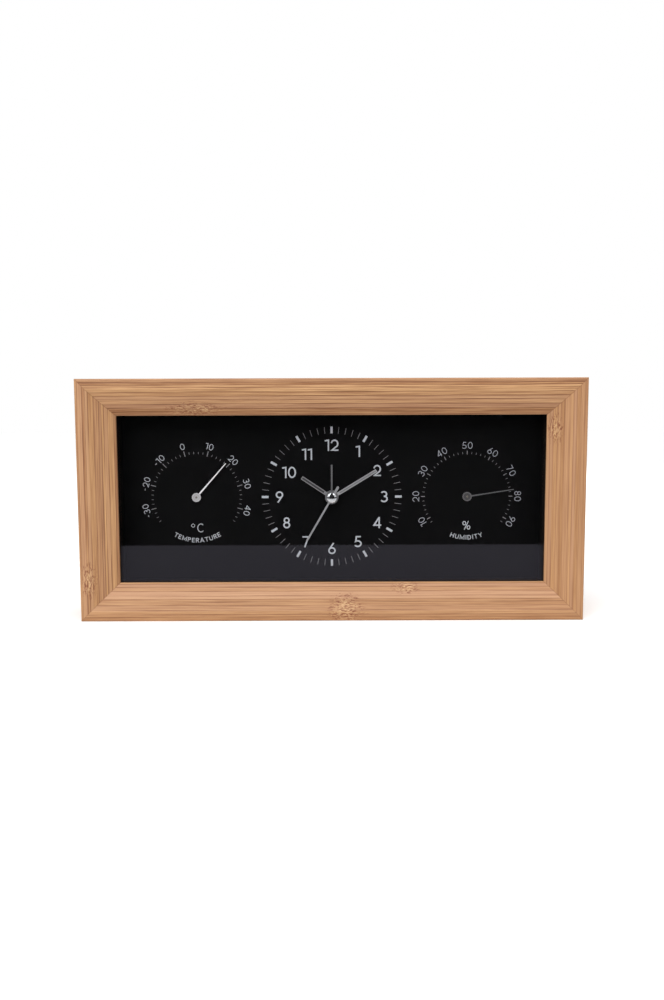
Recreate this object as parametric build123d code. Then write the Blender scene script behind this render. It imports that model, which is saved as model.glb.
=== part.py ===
from build123d import *
import math
import os

# A table clock between a dial thermometer and a dial hygrometer, in one mitred bamboo frame.
# Millimetres, +X right, +Y to the back, +Z up. The origin is the middle of the base.
# Depths are counted from the flat front rim towards the back.

# Whole frame
CASE_WIDTH = 240.0
CASE_HEIGHT = 115.0
CASE_DEPTH = 50.0

# Section of the bamboo members
RIM_WIDTH = 4.8
BEVEL_WIDTH = 12.3
BEVEL_DEPTH = 8.2
BEVEL_CROWN = 0.5
LIP_THICKNESS = 1.3
WALL_THICKNESS = 11.0
LEDGE_WIDTH = 5.5
EDGE_ROUND = 0.8

# Loose tongues across the mitres
TONGUE_LENGTH = 9.0
TONGUE_WIDTH = 22.0
TONGUE_THICKNESS = 2.0
TONGUE_GAP = 0.1

# Stack between the lip and the back panel
FIT_GAP = 0.3
GLASS_THICKNESS = 2.0
HAND_SPACE = 10.5
SPACER_SETBACK = 0.6
DIAL_SHEET_THICKNESS = 0.5
DIAL_BOARD_THICKNESS = 3.0
BLOCK_LENGTH = 14.5
BLOCK_SIDE = 11.0
PANEL_THICKNESS = 3.0
PANEL_CORNER_ROUND = 1.5

# Vents in the back panel, behind both sensors
VENT_LENGTH = 22.0
VENT_WIDTH = 2.4
VENT_PITCH = 5.0
VENT_COUNT = 5

# Cross-head screws
PANEL_SCREW_LENGTH = 9.0
PANEL_SCREW_SPREAD_SHARE = 0.65
MOVEMENT_SCREW_GRIP = 2.4
SENSOR_SCREW_GRIP = 2.2
SCREW_RADIUS = 1.1
SCREW_HEAD_RADIUS = 2.3
SCREW_HEAD_HEIGHT = 1.5
SCREW_HEAD_ROUND = 0.6
SCREW_CROSS_LENGTH = 2.6
SCREW_CROSS_WIDTH = 0.6
SCREW_CROSS_DEPTH = 0.8
SCREW_HOLE_GAP = 0.25
PILOT_GAP = 0.03

# Battery cell and its bay
CELL_LENGTH = 50.5
CELL_RADIUS = 7.25
CELL_EDGE_ROUND = 0.7
CELL_STUD_RADIUS = 2.6
CELL_STUD_LENGTH = 1.3
BAY_GAP = 0.25
CONTACT_ROOM = 2.25
CONTACT_THICKNESS = 0.4
CONTACT_WIDTH = 9.0
CONTACT_BOSS_RADIUS = 2.0
FINGER_NOTCH_WIDTH = 20.0
FINGER_NOTCH_DEPTH = 8.0

# Movement shells
TRAIN_WIDTH = 55.0
TRAIN_DEPTH = 13.5
SHELL_WALL = 1.5
SHELL_ROUND = 2.5
ROOM_ABOVE = 22.5
ROOM_BELOW = 16.0
EAR_WIDTH = 8.0
EAR_REACH = 8.0
EAR_UP = 14.0
EAR_DOWN = 22.0
REAR_EAR_THICKNESS = 2.0
PANEL_MOVEMENT_GAP = 0.5
BUSH_RADIUS = 4.0
PIVOT_DEPTH = 0.9
SOUND_HOLE_RADIUS = 0.8
SOUND_RING_RADIUS = 2.8
SOUND_HOLE_COUNT = 6

# Wheels of the movement
WHEEL_THICKNESS = 1.0
LAYER_PITCH = 1.6
LAYER_GAP = 0.5
RUNNING_GAP = 0.06
PRESS_GAP = 0.02
ARBOR_RADIUS = 0.5
STUD_RADIUS = 0.75
HUB_WALL = 0.55
SET_ARBOR_RADIUS = 1.5
THIRD_DISTANCE = 12.0
MOTION_DISTANCE = 10.0
SET_DISTANCE = 10.5
ALARM_DISTANCE = 13.5
INTERMEDIATE_DISTANCE = 9.45
ROTOR_DISTANCE = 7.2
LIGHTENING_HOLE_RADIUS = 2.0
LIGHTENING_HOLE_COUNT = 4

# Directions of the arbors round the clock centre, in degrees from +X towards +Z
THIRD_DIRECTION = 30.0
MOTION_DIRECTION = 200.0
ALARM_DIRECTION = 140.0
INTERMEDIATE_DIRECTION = 315.0
ROTOR_DIRECTION = 340.0

# Teeth of each meshing pair
SECOND_PINION_TEETH = 6
THIRD_WHEEL_TEETH = 45
THIRD_PINION_TEETH = 6
CENTRE_WHEEL_TEETH = 48
CANNON_PINION_TEETH = 10
MOTION_WHEEL_TEETH = 30
MOTION_PINION_TEETH = 8
HOUR_WHEEL_TEETH = 32
SET_PINION_TEETH = 12
ALARM_GEAR_TEETH = 24
ALARM_WHEEL_TEETH = 36
SECOND_WHEEL_TEETH = 36
INTERMEDIATE_PINION_TEETH = 6
INTERMEDIATE_WHEEL_TEETH = 30
ROTOR_PINION_TEETH = 6

# Tooth form, as shares of the module and of the tooth pitch
ADDENDUM_SHARE = 0.75
DEDENDUM_SHARE = 1.1
TOOTH_TIP_SHARE = 0.2
WHEEL_ROOT_SHARE = 0.5
PINION_ROOT_SHARE = 0.42
PINION_TEETH_LIMIT = 13

# Pipes of the hands, from the inside out
PIPE_WALL = 0.66

# Stepping motor
MAGNET_RADIUS = 2.6
MAGNET_LENGTH = 4.0
MAGNET_AIR_GAP = 0.5
STATOR_THICKNESS = 1.0
STATOR_HALF_HEIGHT = 4.2
STATOR_LEFT = 4.4
STATOR_RIGHT = 13.2
STATOR_LEG_WIDTH = 2.6
STATOR_LEG_HEIGHT = 8.6
COIL_RADIUS = 2.3
COIL_FLANGE_RADIUS = 2.6
COIL_FLANGE_THICKNESS = 0.7
CORE_WIDTH = 2.2
CORE_GAP = 0.1

# Circuit board with its crystal and the buzzer
BOARD_WIDTH = 13.0
BOARD_HEIGHT = 17.0
BOARD_THICKNESS = 1.0
BOARD_STANDOFF = 0.8
BOARD_POST_RADIUS = 1.2
BOARD_INSET = 1.4
CHIP_RADIUS = 2.4
CHIP_HEIGHT = 1.1
CRYSTAL_RADIUS = 1.0
CRYSTAL_LENGTH = 6.0
BUZZER_RADIUS = 6.0
BUZZER_HEIGHT = 3.2
BUZZER_LIP_HEIGHT = 0.8
BUZZER_LIP_WIDTH = 0.9
BUZZER_LEFT = 20.0
BUZZER_UP = 14.5

# Setting knobs and the alarm switch
KNOB_RADIUS = 5.2
KNOB_LENGTH = 5.6
KNOB_RIDGE_DEPTH = 0.5
KNOB_RIDGES = 20
KNOB_GAP = 0.5
KNOB_DISH_RADIUS = 3.4
KNOB_DISH_DEPTH = 0.6
KNOB_FLOOR = 1.4
SWITCH_RIGHT = 13.0
SWITCH_UP = 18.0
SWITCH_TRAVEL = 4.0
SWITCH_BASE_LENGTH = 10.0
SWITCH_BASE_HEIGHT = 5.0
SWITCH_BASE_THICKNESS = 1.2
SWITCH_STEM_WIDTH = 3.0
SWITCH_STEM_HEIGHT = 2.2
SWITCH_STEM_LENGTH = 3.6
SWITCH_GAP = 0.2
SWITCH_RAIL_THICKNESS = 0.8

# Hands of the clock, with the clockwise angle from twelve that each one shows
HAND_THICKNESS = 0.5
HAND_HUB_RADIUS = 3.2
HAND_COLLAR_WALL = 0.7
HAND_COLLAR_LENGTH = 0.9
HAND_RIM_WIDTH = 0.36
HAND_GROOVE_DEPTH = 0.22
HAND_GROOVE_START = 4.6
ALARM_HAND_LENGTH = 16.0
ALARM_HAND_WIDTH = 0.82
ALARM_HAND_THICKNESS = 0.4
ALARM_HAND_LIFT = 1.5
HOUR_HAND_LENGTH = 17.7
HOUR_HAND_WIDTH = 1.72
HOUR_HAND_LIFT = 3.2
MINUTE_HAND_LENGTH = 25.65
MINUTE_HAND_WIDTH = 1.52
MINUTE_HAND_LIFT = 4.9
SECOND_HAND_LENGTH = 24.4
SECOND_HAND_WIDTH = 0.84
SECOND_HAND_TAIL = 6.5
SECOND_HAND_TAIL_WIDTH = 1.2
SECOND_HAND_THICKNESS = 0.3
SECOND_HAND_HUB_RADIUS = 1.9
SECOND_HAND_LIFT = 6.5
CAP_RADIUS = 2.42
CAP_HEIGHT = 1.1
CAP_SKIRT = 0.3
ALARM_ANGLE = 0.0
HOUR_ANGLE = 303.7
MINUTE_ANGLE = 58.7
SECOND_ANGLE = 210.2
DIAL_HOLE_GAP = 0.5

# Thermometer and hygrometer
SENSOR_SPACING_SHARE = 0.652
CUP_RADIUS = 13.0
CUP_WALL = 1.0
CUP_LENGTH = 9.0
CUP_BUSH_RADIUS = 1.6
CUP_BUSH_LENGTH = 3.0
CUP_EAR_RADIUS = 3.0
CUP_EAR_REACH = 2.6
CUP_POST_RADIUS = 0.8
COLLET_RADIUS = 1.6
COLLET_LENGTH = 3.4
STRIP_THICKNESS = 0.3
STRIP_GAP = 0.12
POINTER_THICKNESS = 0.3
POINTER_LIFT = 1.2
POINTER_TIP_SHARE = 0.55
POINTER_COLLAR_LENGTH = 0.6
POINTER_COLLAR_WALL = 0.6
THERMO_STRIP_PITCH = 1.5
THERMO_STRIP_HALF_TURNS = 10
THERMO_STRIP_WIDTH = 2.6
THERMO_POINTER_LENGTH = 22.4
THERMO_POINTER_WIDTH = 0.76
THERMO_HUB_RADIUS = 2.22
THERMO_ANGLE = 41.3
HYGRO_STRIP_PITCH = 1.9
HYGRO_STRIP_HALF_TURNS = 8
HYGRO_STRIP_WIDTH = 3.0
HYGRO_POINTER_LENGTH = 23.3
HYGRO_POINTER_WIDTH = 0.7
HYGRO_HUB_RADIUS = 2.3
HYGRO_ANGLE = 81.4

# One overrun serves every cut
OVERRUN = 1.0

# Places worked out from the sizes above
FRONT = -CASE_DEPTH / 2
CENTRE_Z = CASE_HEIGHT / 2
MEMBER_WIDTH = RIM_WIDTH + BEVEL_WIDTH
PANEL_SCREW_SPREAD = PANEL_SCREW_SPREAD_SHARE * CASE_WIDTH / 2
SENSOR_SPACING = SENSOR_SPACING_SHARE * (CASE_WIDTH / 2 - MEMBER_WIDTH)
LIP_BACK = BEVEL_DEPTH + LIP_THICKNESS
GLASS_BACK = LIP_BACK + GLASS_THICKNESS
DIAL_FACE = GLASS_BACK + HAND_SPACE
SHEET_BACK = DIAL_FACE + DIAL_SHEET_THICKNESS
BOARD_BACK = SHEET_BACK + DIAL_BOARD_THICKNESS
PANEL_FACE = BOARD_BACK + BLOCK_LENGTH
PANEL_BACK = PANEL_FACE + PANEL_THICKNESS
INSIDE_WIDTH = CASE_WIDTH - 2 * WALL_THICKNESS - 2 * FIT_GAP
INSIDE_HEIGHT = CASE_HEIGHT - 2 * WALL_THICKNESS - 2 * FIT_GAP
PLATE_BACK = BOARD_BACK + SHELL_WALL
BAY_LENGTH = CELL_LENGTH + 2 * CONTACT_ROOM
BAY_HEIGHT = 2 * CELL_RADIUS + 2 * BAY_GAP
MOVEMENT_BACK = PLATE_BACK + max(BAY_HEIGHT, TRAIN_DEPTH + SHELL_WALL)
ROOM_BACK = MOVEMENT_BACK - SHELL_WALL
ROOM_WIDTH = max(BAY_LENGTH, TRAIN_WIDTH)
SHELL_WIDTH = ROOM_WIDTH + 2 * SHELL_WALL
SHELL_TOP = CENTRE_Z + ROOM_ABOVE + SHELL_WALL
BAY_TOP = CENTRE_Z - ROOM_BELOW - SHELL_WALL
BAY_BOTTOM = BAY_TOP - BAY_HEIGHT
SHELL_BOTTOM = BAY_BOTTOM - SHELL_WALL
SHELL_HEIGHT = SHELL_TOP - SHELL_BOTTOM
SHELL_MIDDLE_Z = (SHELL_TOP + SHELL_BOTTOM) / 2
CELL_Z = (BAY_TOP + BAY_BOTTOM) / 2
CELL_DEPTH = PLATE_BACK + BAY_GAP + CELL_RADIUS
MINUTE_PIPE_RADIUS = ARBOR_RADIUS + RUNNING_GAP + PIPE_WALL
HOUR_PIPE_RADIUS = MINUTE_PIPE_RADIUS + RUNNING_GAP + PIPE_WALL
ALARM_PIPE_RADIUS = HOUR_PIPE_RADIUS + RUNNING_GAP + PIPE_WALL


# Plain shapes, placed by depth

def slab(sketch, start, end):
    """Extrude a sketch of the front view between two depths."""
    back = Plane.XZ.offset(-(FRONT + end))
    return extrude(back * sketch, amount=end - start)


def rod(radius, start, end, x=0, z=0):
    """Round bar along the depth."""
    return slab(Pos(x, z) * Circle(radius), start, end)


def block(width, height, start, end, x=0, z=0):
    """Rectangular bar along the depth."""
    return slab(Pos(x, z) * Rectangle(width, height), start, end)


def turned(shape, clockwise, x=0, z=0):
    """Swing a shape that points up at the origin clockwise, seen from the front, and place it."""
    return Pos(x, 0, z) * Rot(0, clockwise, 0) * shape


def polar(start, distance, direction):
    """Place at a distance and direction in the front view."""
    angle = math.radians(direction)
    return (start[0] + distance * math.cos(angle), start[1] + distance * math.sin(angle))


def layer(index):
    """Front depth of a wheel layer, counted from the front plate."""
    return PLATE_BACK + LAYER_GAP + index * LAYER_PITCH


# Gears

def gear_outline(teeth, pitch_radius, phase):
    """Straight-flanked teeth round a wheel, with a tooth at the given direction."""
    module = 2 * pitch_radius / teeth
    tip_radius = pitch_radius + ADDENDUM_SHARE * module
    root_radius = pitch_radius - DEDENDUM_SHARE * module
    root_share = PINION_ROOT_SHARE if teeth < PINION_TEETH_LIMIT else WHEEL_ROOT_SHARE
    corners = (
        (root_radius, -root_share),
        (tip_radius, -TOOTH_TIP_SHARE),
        (tip_radius, TOOTH_TIP_SHARE),
        (root_radius, root_share),
    )
    points = []
    for tooth in range(teeth):
        for radius, share in corners:
            points.append(polar((0, 0), radius, phase + (tooth + share / 2) * 360 / teeth))
    return Polygon(*points, align=None)


def gear(teeth, pitch_radius, phase, start, place):
    """One toothed disc of the common wheel thickness."""
    outline = Pos(*place) * gear_outline(teeth, pitch_radius, phase)
    return slab(outline, start, start + WHEEL_THICKNESS)


def pitch_radii(distance, teeth_a, teeth_b):
    """Pitch radii of two meshing gears on arbors that far apart."""
    total = teeth_a + teeth_b
    return (distance * teeth_a / total, distance * teeth_b / total)


def meshed_phase(teeth_a, phase_a, teeth_b, direction):
    """Tooth direction of gear B that meshes with gear A, with B in the given direction from A."""
    return direction + 180 - (phase_a - direction) * teeth_a / teeth_b - 180 / teeth_b


def lightening_holes(ring_radius, start, place):
    """Round holes that a moulded wheel has in its web."""
    holes = []
    for index in range(LIGHTENING_HOLE_COUNT):
        spot = polar(place, ring_radius, 45 + index * 360 / LIGHTENING_HOLE_COUNT)
        holes.append(rod(LIGHTENING_HOLE_RADIUS, start - OVERRUN, start + WHEEL_THICKNESS + OVERRUN, *spot))
    return holes


CENTRE = (0, CENTRE_Z)
THIRD_PLACE = polar(CENTRE, THIRD_DISTANCE, THIRD_DIRECTION)
MOTION_PLACE = polar(CENTRE, MOTION_DISTANCE, MOTION_DIRECTION)
SET_PLACE = polar(MOTION_PLACE, SET_DISTANCE, MOTION_DIRECTION)
ALARM_PLACE = polar(CENTRE, ALARM_DISTANCE, ALARM_DIRECTION)
INTERMEDIATE_PLACE = polar(CENTRE, INTERMEDIATE_DISTANCE, INTERMEDIATE_DIRECTION)
ROTOR_PLACE = polar(INTERMEDIATE_PLACE, ROTOR_DISTANCE, ROTOR_DIRECTION)
ALARM_LAYER = layer(0)
HOUR_LAYER = layer(1)
MOTION_LAYER = layer(2)
CENTRE_LAYER = layer(3)
THIRD_LAYER = layer(4)
SECOND_LAYER = layer(5)
ROTOR_LAYER = layer(6)
STATOR_FACE = HOUR_LAYER
CORE_FACE = STATOR_FACE + STATOR_THICKNESS
REAR_PIVOT = ROOM_BACK + PIVOT_DEPTH
FRONT_PIVOT = PLATE_BACK - PIVOT_DEPTH


# Screws

def screw(x, z, seat, length):
    """Pan-head cross screw driven from behind, with its head on the seat depth."""
    shank = rod(SCREW_RADIUS, seat - length, seat, x, z)
    head = rod(SCREW_HEAD_RADIUS, seat, seat + SCREW_HEAD_HEIGHT, x, z)
    head = fillet(head.edges().sort_by(Axis.Y)[-1], SCREW_HEAD_ROUND)
    top = seat + SCREW_HEAD_HEIGHT
    cross = block(SCREW_CROSS_LENGTH, SCREW_CROSS_WIDTH, top - SCREW_CROSS_DEPTH, top + OVERRUN, x, z)
    cross += block(SCREW_CROSS_WIDTH, SCREW_CROSS_LENGTH, top - SCREW_CROSS_DEPTH, top + OVERRUN, x, z)
    return shank + head - cross


def screw_hole(x, z, start, end, gap):
    """Hole for a screw shank between two depths."""
    return rod(SCREW_RADIUS + gap, start, end, x, z)


LEDGE_MIDDLE = WALL_THICKNESS - LEDGE_WIDTH / 2
PANEL_SCREW_SPOTS = [
    (side * PANEL_SCREW_SPREAD, CENTRE_Z + level * (CASE_HEIGHT / 2 - LEDGE_MIDDLE))
    for side in (-1, 1)
    for level in (-1, 1)
]
PANEL_SCREW_SPOTS += [(side * (CASE_WIDTH / 2 - LEDGE_MIDDLE), CENTRE_Z) for side in (-1, 1)]
EAR_MIDDLE = SHELL_WIDTH / 2 + EAR_REACH / 2
EAR_SPOTS = [(side * EAR_MIDDLE, CENTRE_Z + rise) for side in (-1, 1) for rise in (EAR_UP, -EAR_DOWN)]
CUP_EAR_MIDDLE = CUP_RADIUS + CUP_EAR_REACH
SENSOR_SCREW_SPOTS = [
    (sensor * SENSOR_SPACING + side * CUP_EAR_MIDDLE, CENTRE_Z) for sensor in (-1, 1) for side in (-1, 1)
]


# Bamboo frame: four mitred members with loose tongues

def member_section():
    """Section of a member: outer face along the depth, rim, crowned bevel, lip and two rebates."""
    bevel_start = Vector(RIM_WIDTH, 0)
    bevel_end = Vector(MEMBER_WIDTH, BEVEL_DEPTH)
    bevel_length = (bevel_end - bevel_start).length
    crown = Vector(BEVEL_DEPTH, -BEVEL_WIDTH) * (BEVEL_CROWN / bevel_length)
    bevel = ThreePointArc(bevel_start, (bevel_start + bevel_end) / 2 + crown, bevel_end)
    corners = [
        bevel_end,
        (MEMBER_WIDTH, LIP_BACK),
        (WALL_THICKNESS, LIP_BACK),
        (WALL_THICKNESS, PANEL_FACE),
        (WALL_THICKNESS - LEDGE_WIDTH, PANEL_FACE),
        (WALL_THICKNESS - LEDGE_WIDTH, CASE_DEPTH),
        (0, CASE_DEPTH),
        (0, 0),
        bevel_start,
    ]
    section = make_face(bevel + Polyline(*corners))
    outer = section.vertices().filter_by_position(Axis.X, -EDGE_ROUND, EDGE_ROUND)
    return fillet(outer, EDGE_ROUND)


def frame_member(length, span):
    """Bottom member of a frame whose middle is at the origin, cut to both mitres."""
    end_plane = Plane(origin=(length / 2, FRONT, -span / 2), x_dir=(0, 0, 1), z_dir=(-1, 0, 0))
    bar = extrude(end_plane * member_section(), amount=length)
    inner_half = length / 2 - MEMBER_WIDTH
    trapezium = Polygon(
        (-length / 2, -span / 2),
        (length / 2, -span / 2),
        (inner_half, MEMBER_WIDTH - span / 2),
        (-inner_half, MEMBER_WIDTH - span / 2),
        align=None,
    )
    outline = RectangleRounded(length, span, EDGE_ROUND)
    return bar & slab(trapezium, 0, CASE_DEPTH) & slab(outline, 0, CASE_DEPTH)


def tongue(side, level, gap):
    """Flat tongue square to one mitre, or its slot if a gap is given."""
    inset = WALL_THICKNESS / 2
    middle = (LIP_BACK + PANEL_FACE) / 2
    body = Box(TONGUE_LENGTH + 2 * gap, TONGUE_WIDTH + 2 * gap, TONGUE_THICKNESS + 2 * gap)
    x = side * (CASE_WIDTH / 2 - inset)
    z = CENTRE_Z + level * (CASE_HEIGHT / 2 - inset)
    return Pos(x, FRONT + middle, z) * Rot(0, 45 * side * level, 0) * body


CORNERS = [(side, level) for side in (-1, 1) for level in (-1, 1)]


def frame_members():
    """The four members in place, with tongue slots and pilot holes."""
    cuts = [tongue(side, level, TONGUE_GAP) for side, level in CORNERS]
    pilot_end = PANEL_FACE - (PANEL_SCREW_LENGTH - PANEL_THICKNESS) - PILOT_GAP
    cuts += [screw_hole(x, z, pilot_end, PANEL_FACE + OVERRUN, PILOT_GAP) for x, z in PANEL_SCREW_SPOTS]
    turns = {"bottom": 0, "left": 90, "top": 180, "right": -90}
    members = {}
    for name, turn in turns.items():
        upright = name in ("left", "right")
        length, span = (CASE_HEIGHT, CASE_WIDTH) if upright else (CASE_WIDTH, CASE_HEIGHT)
        members["frame_" + name] = Pos(0, 0, CENTRE_Z) * Rot(0, turn, 0) * frame_member(length, span) - cuts
    return members


# Glass, spacer, dial and back

def glass_pane():
    return block(INSIDE_WIDTH, INSIDE_HEIGHT, LIP_BACK, GLASS_BACK, z=CENTRE_Z)


def spacer_frame():
    """Black ring that keeps the glass clear of the hands."""
    width = CASE_WIDTH - 2 * MEMBER_WIDTH + 2 * SPACER_SETBACK
    height = CASE_HEIGHT - 2 * MEMBER_WIDTH + 2 * SPACER_SETBACK
    ring = block(INSIDE_WIDTH, INSIDE_HEIGHT, GLASS_BACK, DIAL_FACE, z=CENTRE_Z)
    return ring - block(width, height, GLASS_BACK - OVERRUN, DIAL_FACE + OVERRUN, z=CENTRE_Z)


def dial_sheet():
    """Printed black sheet with a hole for each arbor."""
    sheet = block(INSIDE_WIDTH, INSIDE_HEIGHT, DIAL_FACE, SHEET_BACK, z=CENTRE_Z)
    start, end = DIAL_FACE - OVERRUN, SHEET_BACK + OVERRUN
    holes = [rod(ALARM_PIPE_RADIUS + DIAL_HOLE_GAP, start, end, *CENTRE)]
    for side in (-1, 1):
        holes.append(rod(ARBOR_RADIUS + DIAL_HOLE_GAP, start, end, side * SENSOR_SPACING, CENTRE_Z))
    return sheet - holes


def dial_board():
    """Fibreboard that carries the sheet in front and the movement and sensors behind."""
    board = block(INSIDE_WIDTH, INSIDE_HEIGHT, SHEET_BACK, BOARD_BACK, z=CENTRE_Z)
    start, end = SHEET_BACK - OVERRUN, BOARD_BACK + OVERRUN
    holes = [rod(BUSH_RADIUS + RUNNING_GAP, start, end, *CENTRE)]
    for side in (-1, 1):
        holes.append(rod(CUP_BUSH_RADIUS + RUNNING_GAP, start, end, side * SENSOR_SPACING, CENTRE_Z))
    movement_pilot = BOARD_BACK - MOVEMENT_SCREW_GRIP - PILOT_GAP
    sensor_pilot = BOARD_BACK - SENSOR_SCREW_GRIP - PILOT_GAP
    holes += [screw_hole(x, z, movement_pilot, end, PILOT_GAP) for x, z in EAR_SPOTS]
    holes += [screw_hole(x, z, sensor_pilot, end, PILOT_GAP) for x, z in SENSOR_SCREW_SPOTS]
    return board - holes


def corner_blocks():
    """Four blocks that press the dial and the glass against the lip."""
    blocks = []
    for side, level in CORNERS:
        x = side * (INSIDE_WIDTH - BLOCK_SIDE) / 2
        z = CENTRE_Z + level * (INSIDE_HEIGHT - BLOCK_SIDE) / 2
        blocks.append(block(BLOCK_SIDE, BLOCK_SIDE, BOARD_BACK, PANEL_FACE, x, z))
    return Compound(blocks)


def back_panel():
    """Black panel on the rear ledge, open behind the movement and slotted behind the sensors."""
    width = INSIDE_WIDTH + 2 * LEDGE_WIDTH
    height = INSIDE_HEIGHT + 2 * LEDGE_WIDTH
    outline = Pos(0, CENTRE_Z) * RectangleRounded(width, height, PANEL_CORNER_ROUND)
    panel = slab(outline, PANEL_FACE, PANEL_BACK)
    start, end = PANEL_FACE - OVERRUN, PANEL_BACK + OVERRUN
    window = RectangleRounded(
        SHELL_WIDTH + 2 * PANEL_MOVEMENT_GAP,
        SHELL_HEIGHT + 2 * PANEL_MOVEMENT_GAP,
        SHELL_ROUND + PANEL_MOVEMENT_GAP,
    )
    cuts = [slab(Pos(0, SHELL_MIDDLE_Z) * window, start, end)]
    for side in (-1, 1):
        for index in range(VENT_COUNT):
            rise = (index - (VENT_COUNT - 1) / 2) * VENT_PITCH
            slot = Pos(side * SENSOR_SPACING, CENTRE_Z + rise) * SlotOverall(VENT_LENGTH, VENT_WIDTH)
            cuts.append(slab(slot, start, end))
    cuts += [screw_hole(x, z, start, end, SCREW_HOLE_GAP) for x, z in PANEL_SCREW_SPOTS]
    return panel - cuts


def panel_screws():
    return Compound([screw(x, z, PANEL_BACK, PANEL_SCREW_LENGTH) for x, z in PANEL_SCREW_SPOTS])


# Movement shells

def shell_outline():
    return Pos(0, SHELL_MIDDLE_Z) * RectangleRounded(SHELL_WIDTH, SHELL_HEIGHT, SHELL_ROUND)


def ears(start, end):
    """Four screw ears at the sides of the movement."""
    tabs = []
    for x, z in EAR_SPOTS:
        side = math.copysign(1, x)
        inner = Pos(x - side * EAR_REACH / 4, z) * Rectangle(EAR_REACH / 2, EAR_WIDTH)
        tip = Pos(x, z) * Circle(EAR_WIDTH / 2)
        hole = screw_hole(x, z, start - OVERRUN, end + OVERRUN, SCREW_HOLE_GAP)
        tabs.append(slab(inner + tip, start, end) - hole)
    return tabs


STATOR_X = ROTOR_PLACE[0]
STATOR_Z = ROTOR_PLACE[1]
LEG_SPOTS = [
    (STATOR_X - STATOR_LEFT + STATOR_LEG_WIDTH / 2, STATOR_Z + STATOR_LEG_HEIGHT),
    (STATOR_X + STATOR_RIGHT - STATOR_LEG_WIDTH / 2, STATOR_Z + STATOR_LEG_HEIGHT),
]
BOARD_X = ROOM_WIDTH / 2 - BOARD_WIDTH / 2 - SWITCH_GAP
BOARD_Z = CENTRE_Z + ROOM_ABOVE - BOARD_HEIGHT / 2 - SWITCH_GAP
BOARD_FACE = PLATE_BACK + BOARD_STANDOFF
BOARD_POSTS = [
    (BOARD_X + side * (BOARD_WIDTH / 2 - BOARD_INSET), BOARD_Z + level * (BOARD_HEIGHT / 2 - BOARD_INSET))
    for side, level in CORNERS
]
BUZZER_PLACE = (-BUZZER_LEFT, CENTRE_Z + BUZZER_UP)
SWITCH_PLACE = (SWITCH_RIGHT, CENTRE_Z + SWITCH_UP)
SWITCH_MIDDLE = (SWITCH_RIGHT + SWITCH_TRAVEL / 2, CENTRE_Z + SWITCH_UP)


def movement_front_case():
    """Front plate with the bush for the hand pipes, the studs and the blind pivots."""
    plate = slab(shell_outline(), BOARD_BACK, PLATE_BACK) + ears(BOARD_BACK, PLATE_BACK)
    plate += rod(BUSH_RADIUS, SHEET_BACK, BOARD_BACK, *CENTRE)
    plate -= rod(ALARM_PIPE_RADIUS + RUNNING_GAP, SHEET_BACK - OVERRUN, PLATE_BACK + OVERRUN, *CENTRE)
    plate += rod(STUD_RADIUS, PLATE_BACK, MOTION_LAYER + WHEEL_THICKNESS, *MOTION_PLACE)
    for spot in LEG_SPOTS:
        plate += rod(STATOR_LEG_WIDTH / 2, PLATE_BACK, STATOR_FACE, *spot)
    for spot in BOARD_POSTS:
        plate += rod(BOARD_POST_RADIUS, PLATE_BACK, BOARD_FACE, *spot)
    for spot in (THIRD_PLACE, ROTOR_PLACE):
        plate -= rod(ARBOR_RADIUS + RUNNING_GAP, FRONT_PIVOT - RUNNING_GAP, PLATE_BACK + OVERRUN, *spot)
    for spot in (SET_PLACE, ALARM_PLACE):
        plate -= rod(SET_ARBOR_RADIUS + RUNNING_GAP, FRONT_PIVOT - RUNNING_GAP, PLATE_BACK + OVERRUN, *spot)
    return plate


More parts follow.
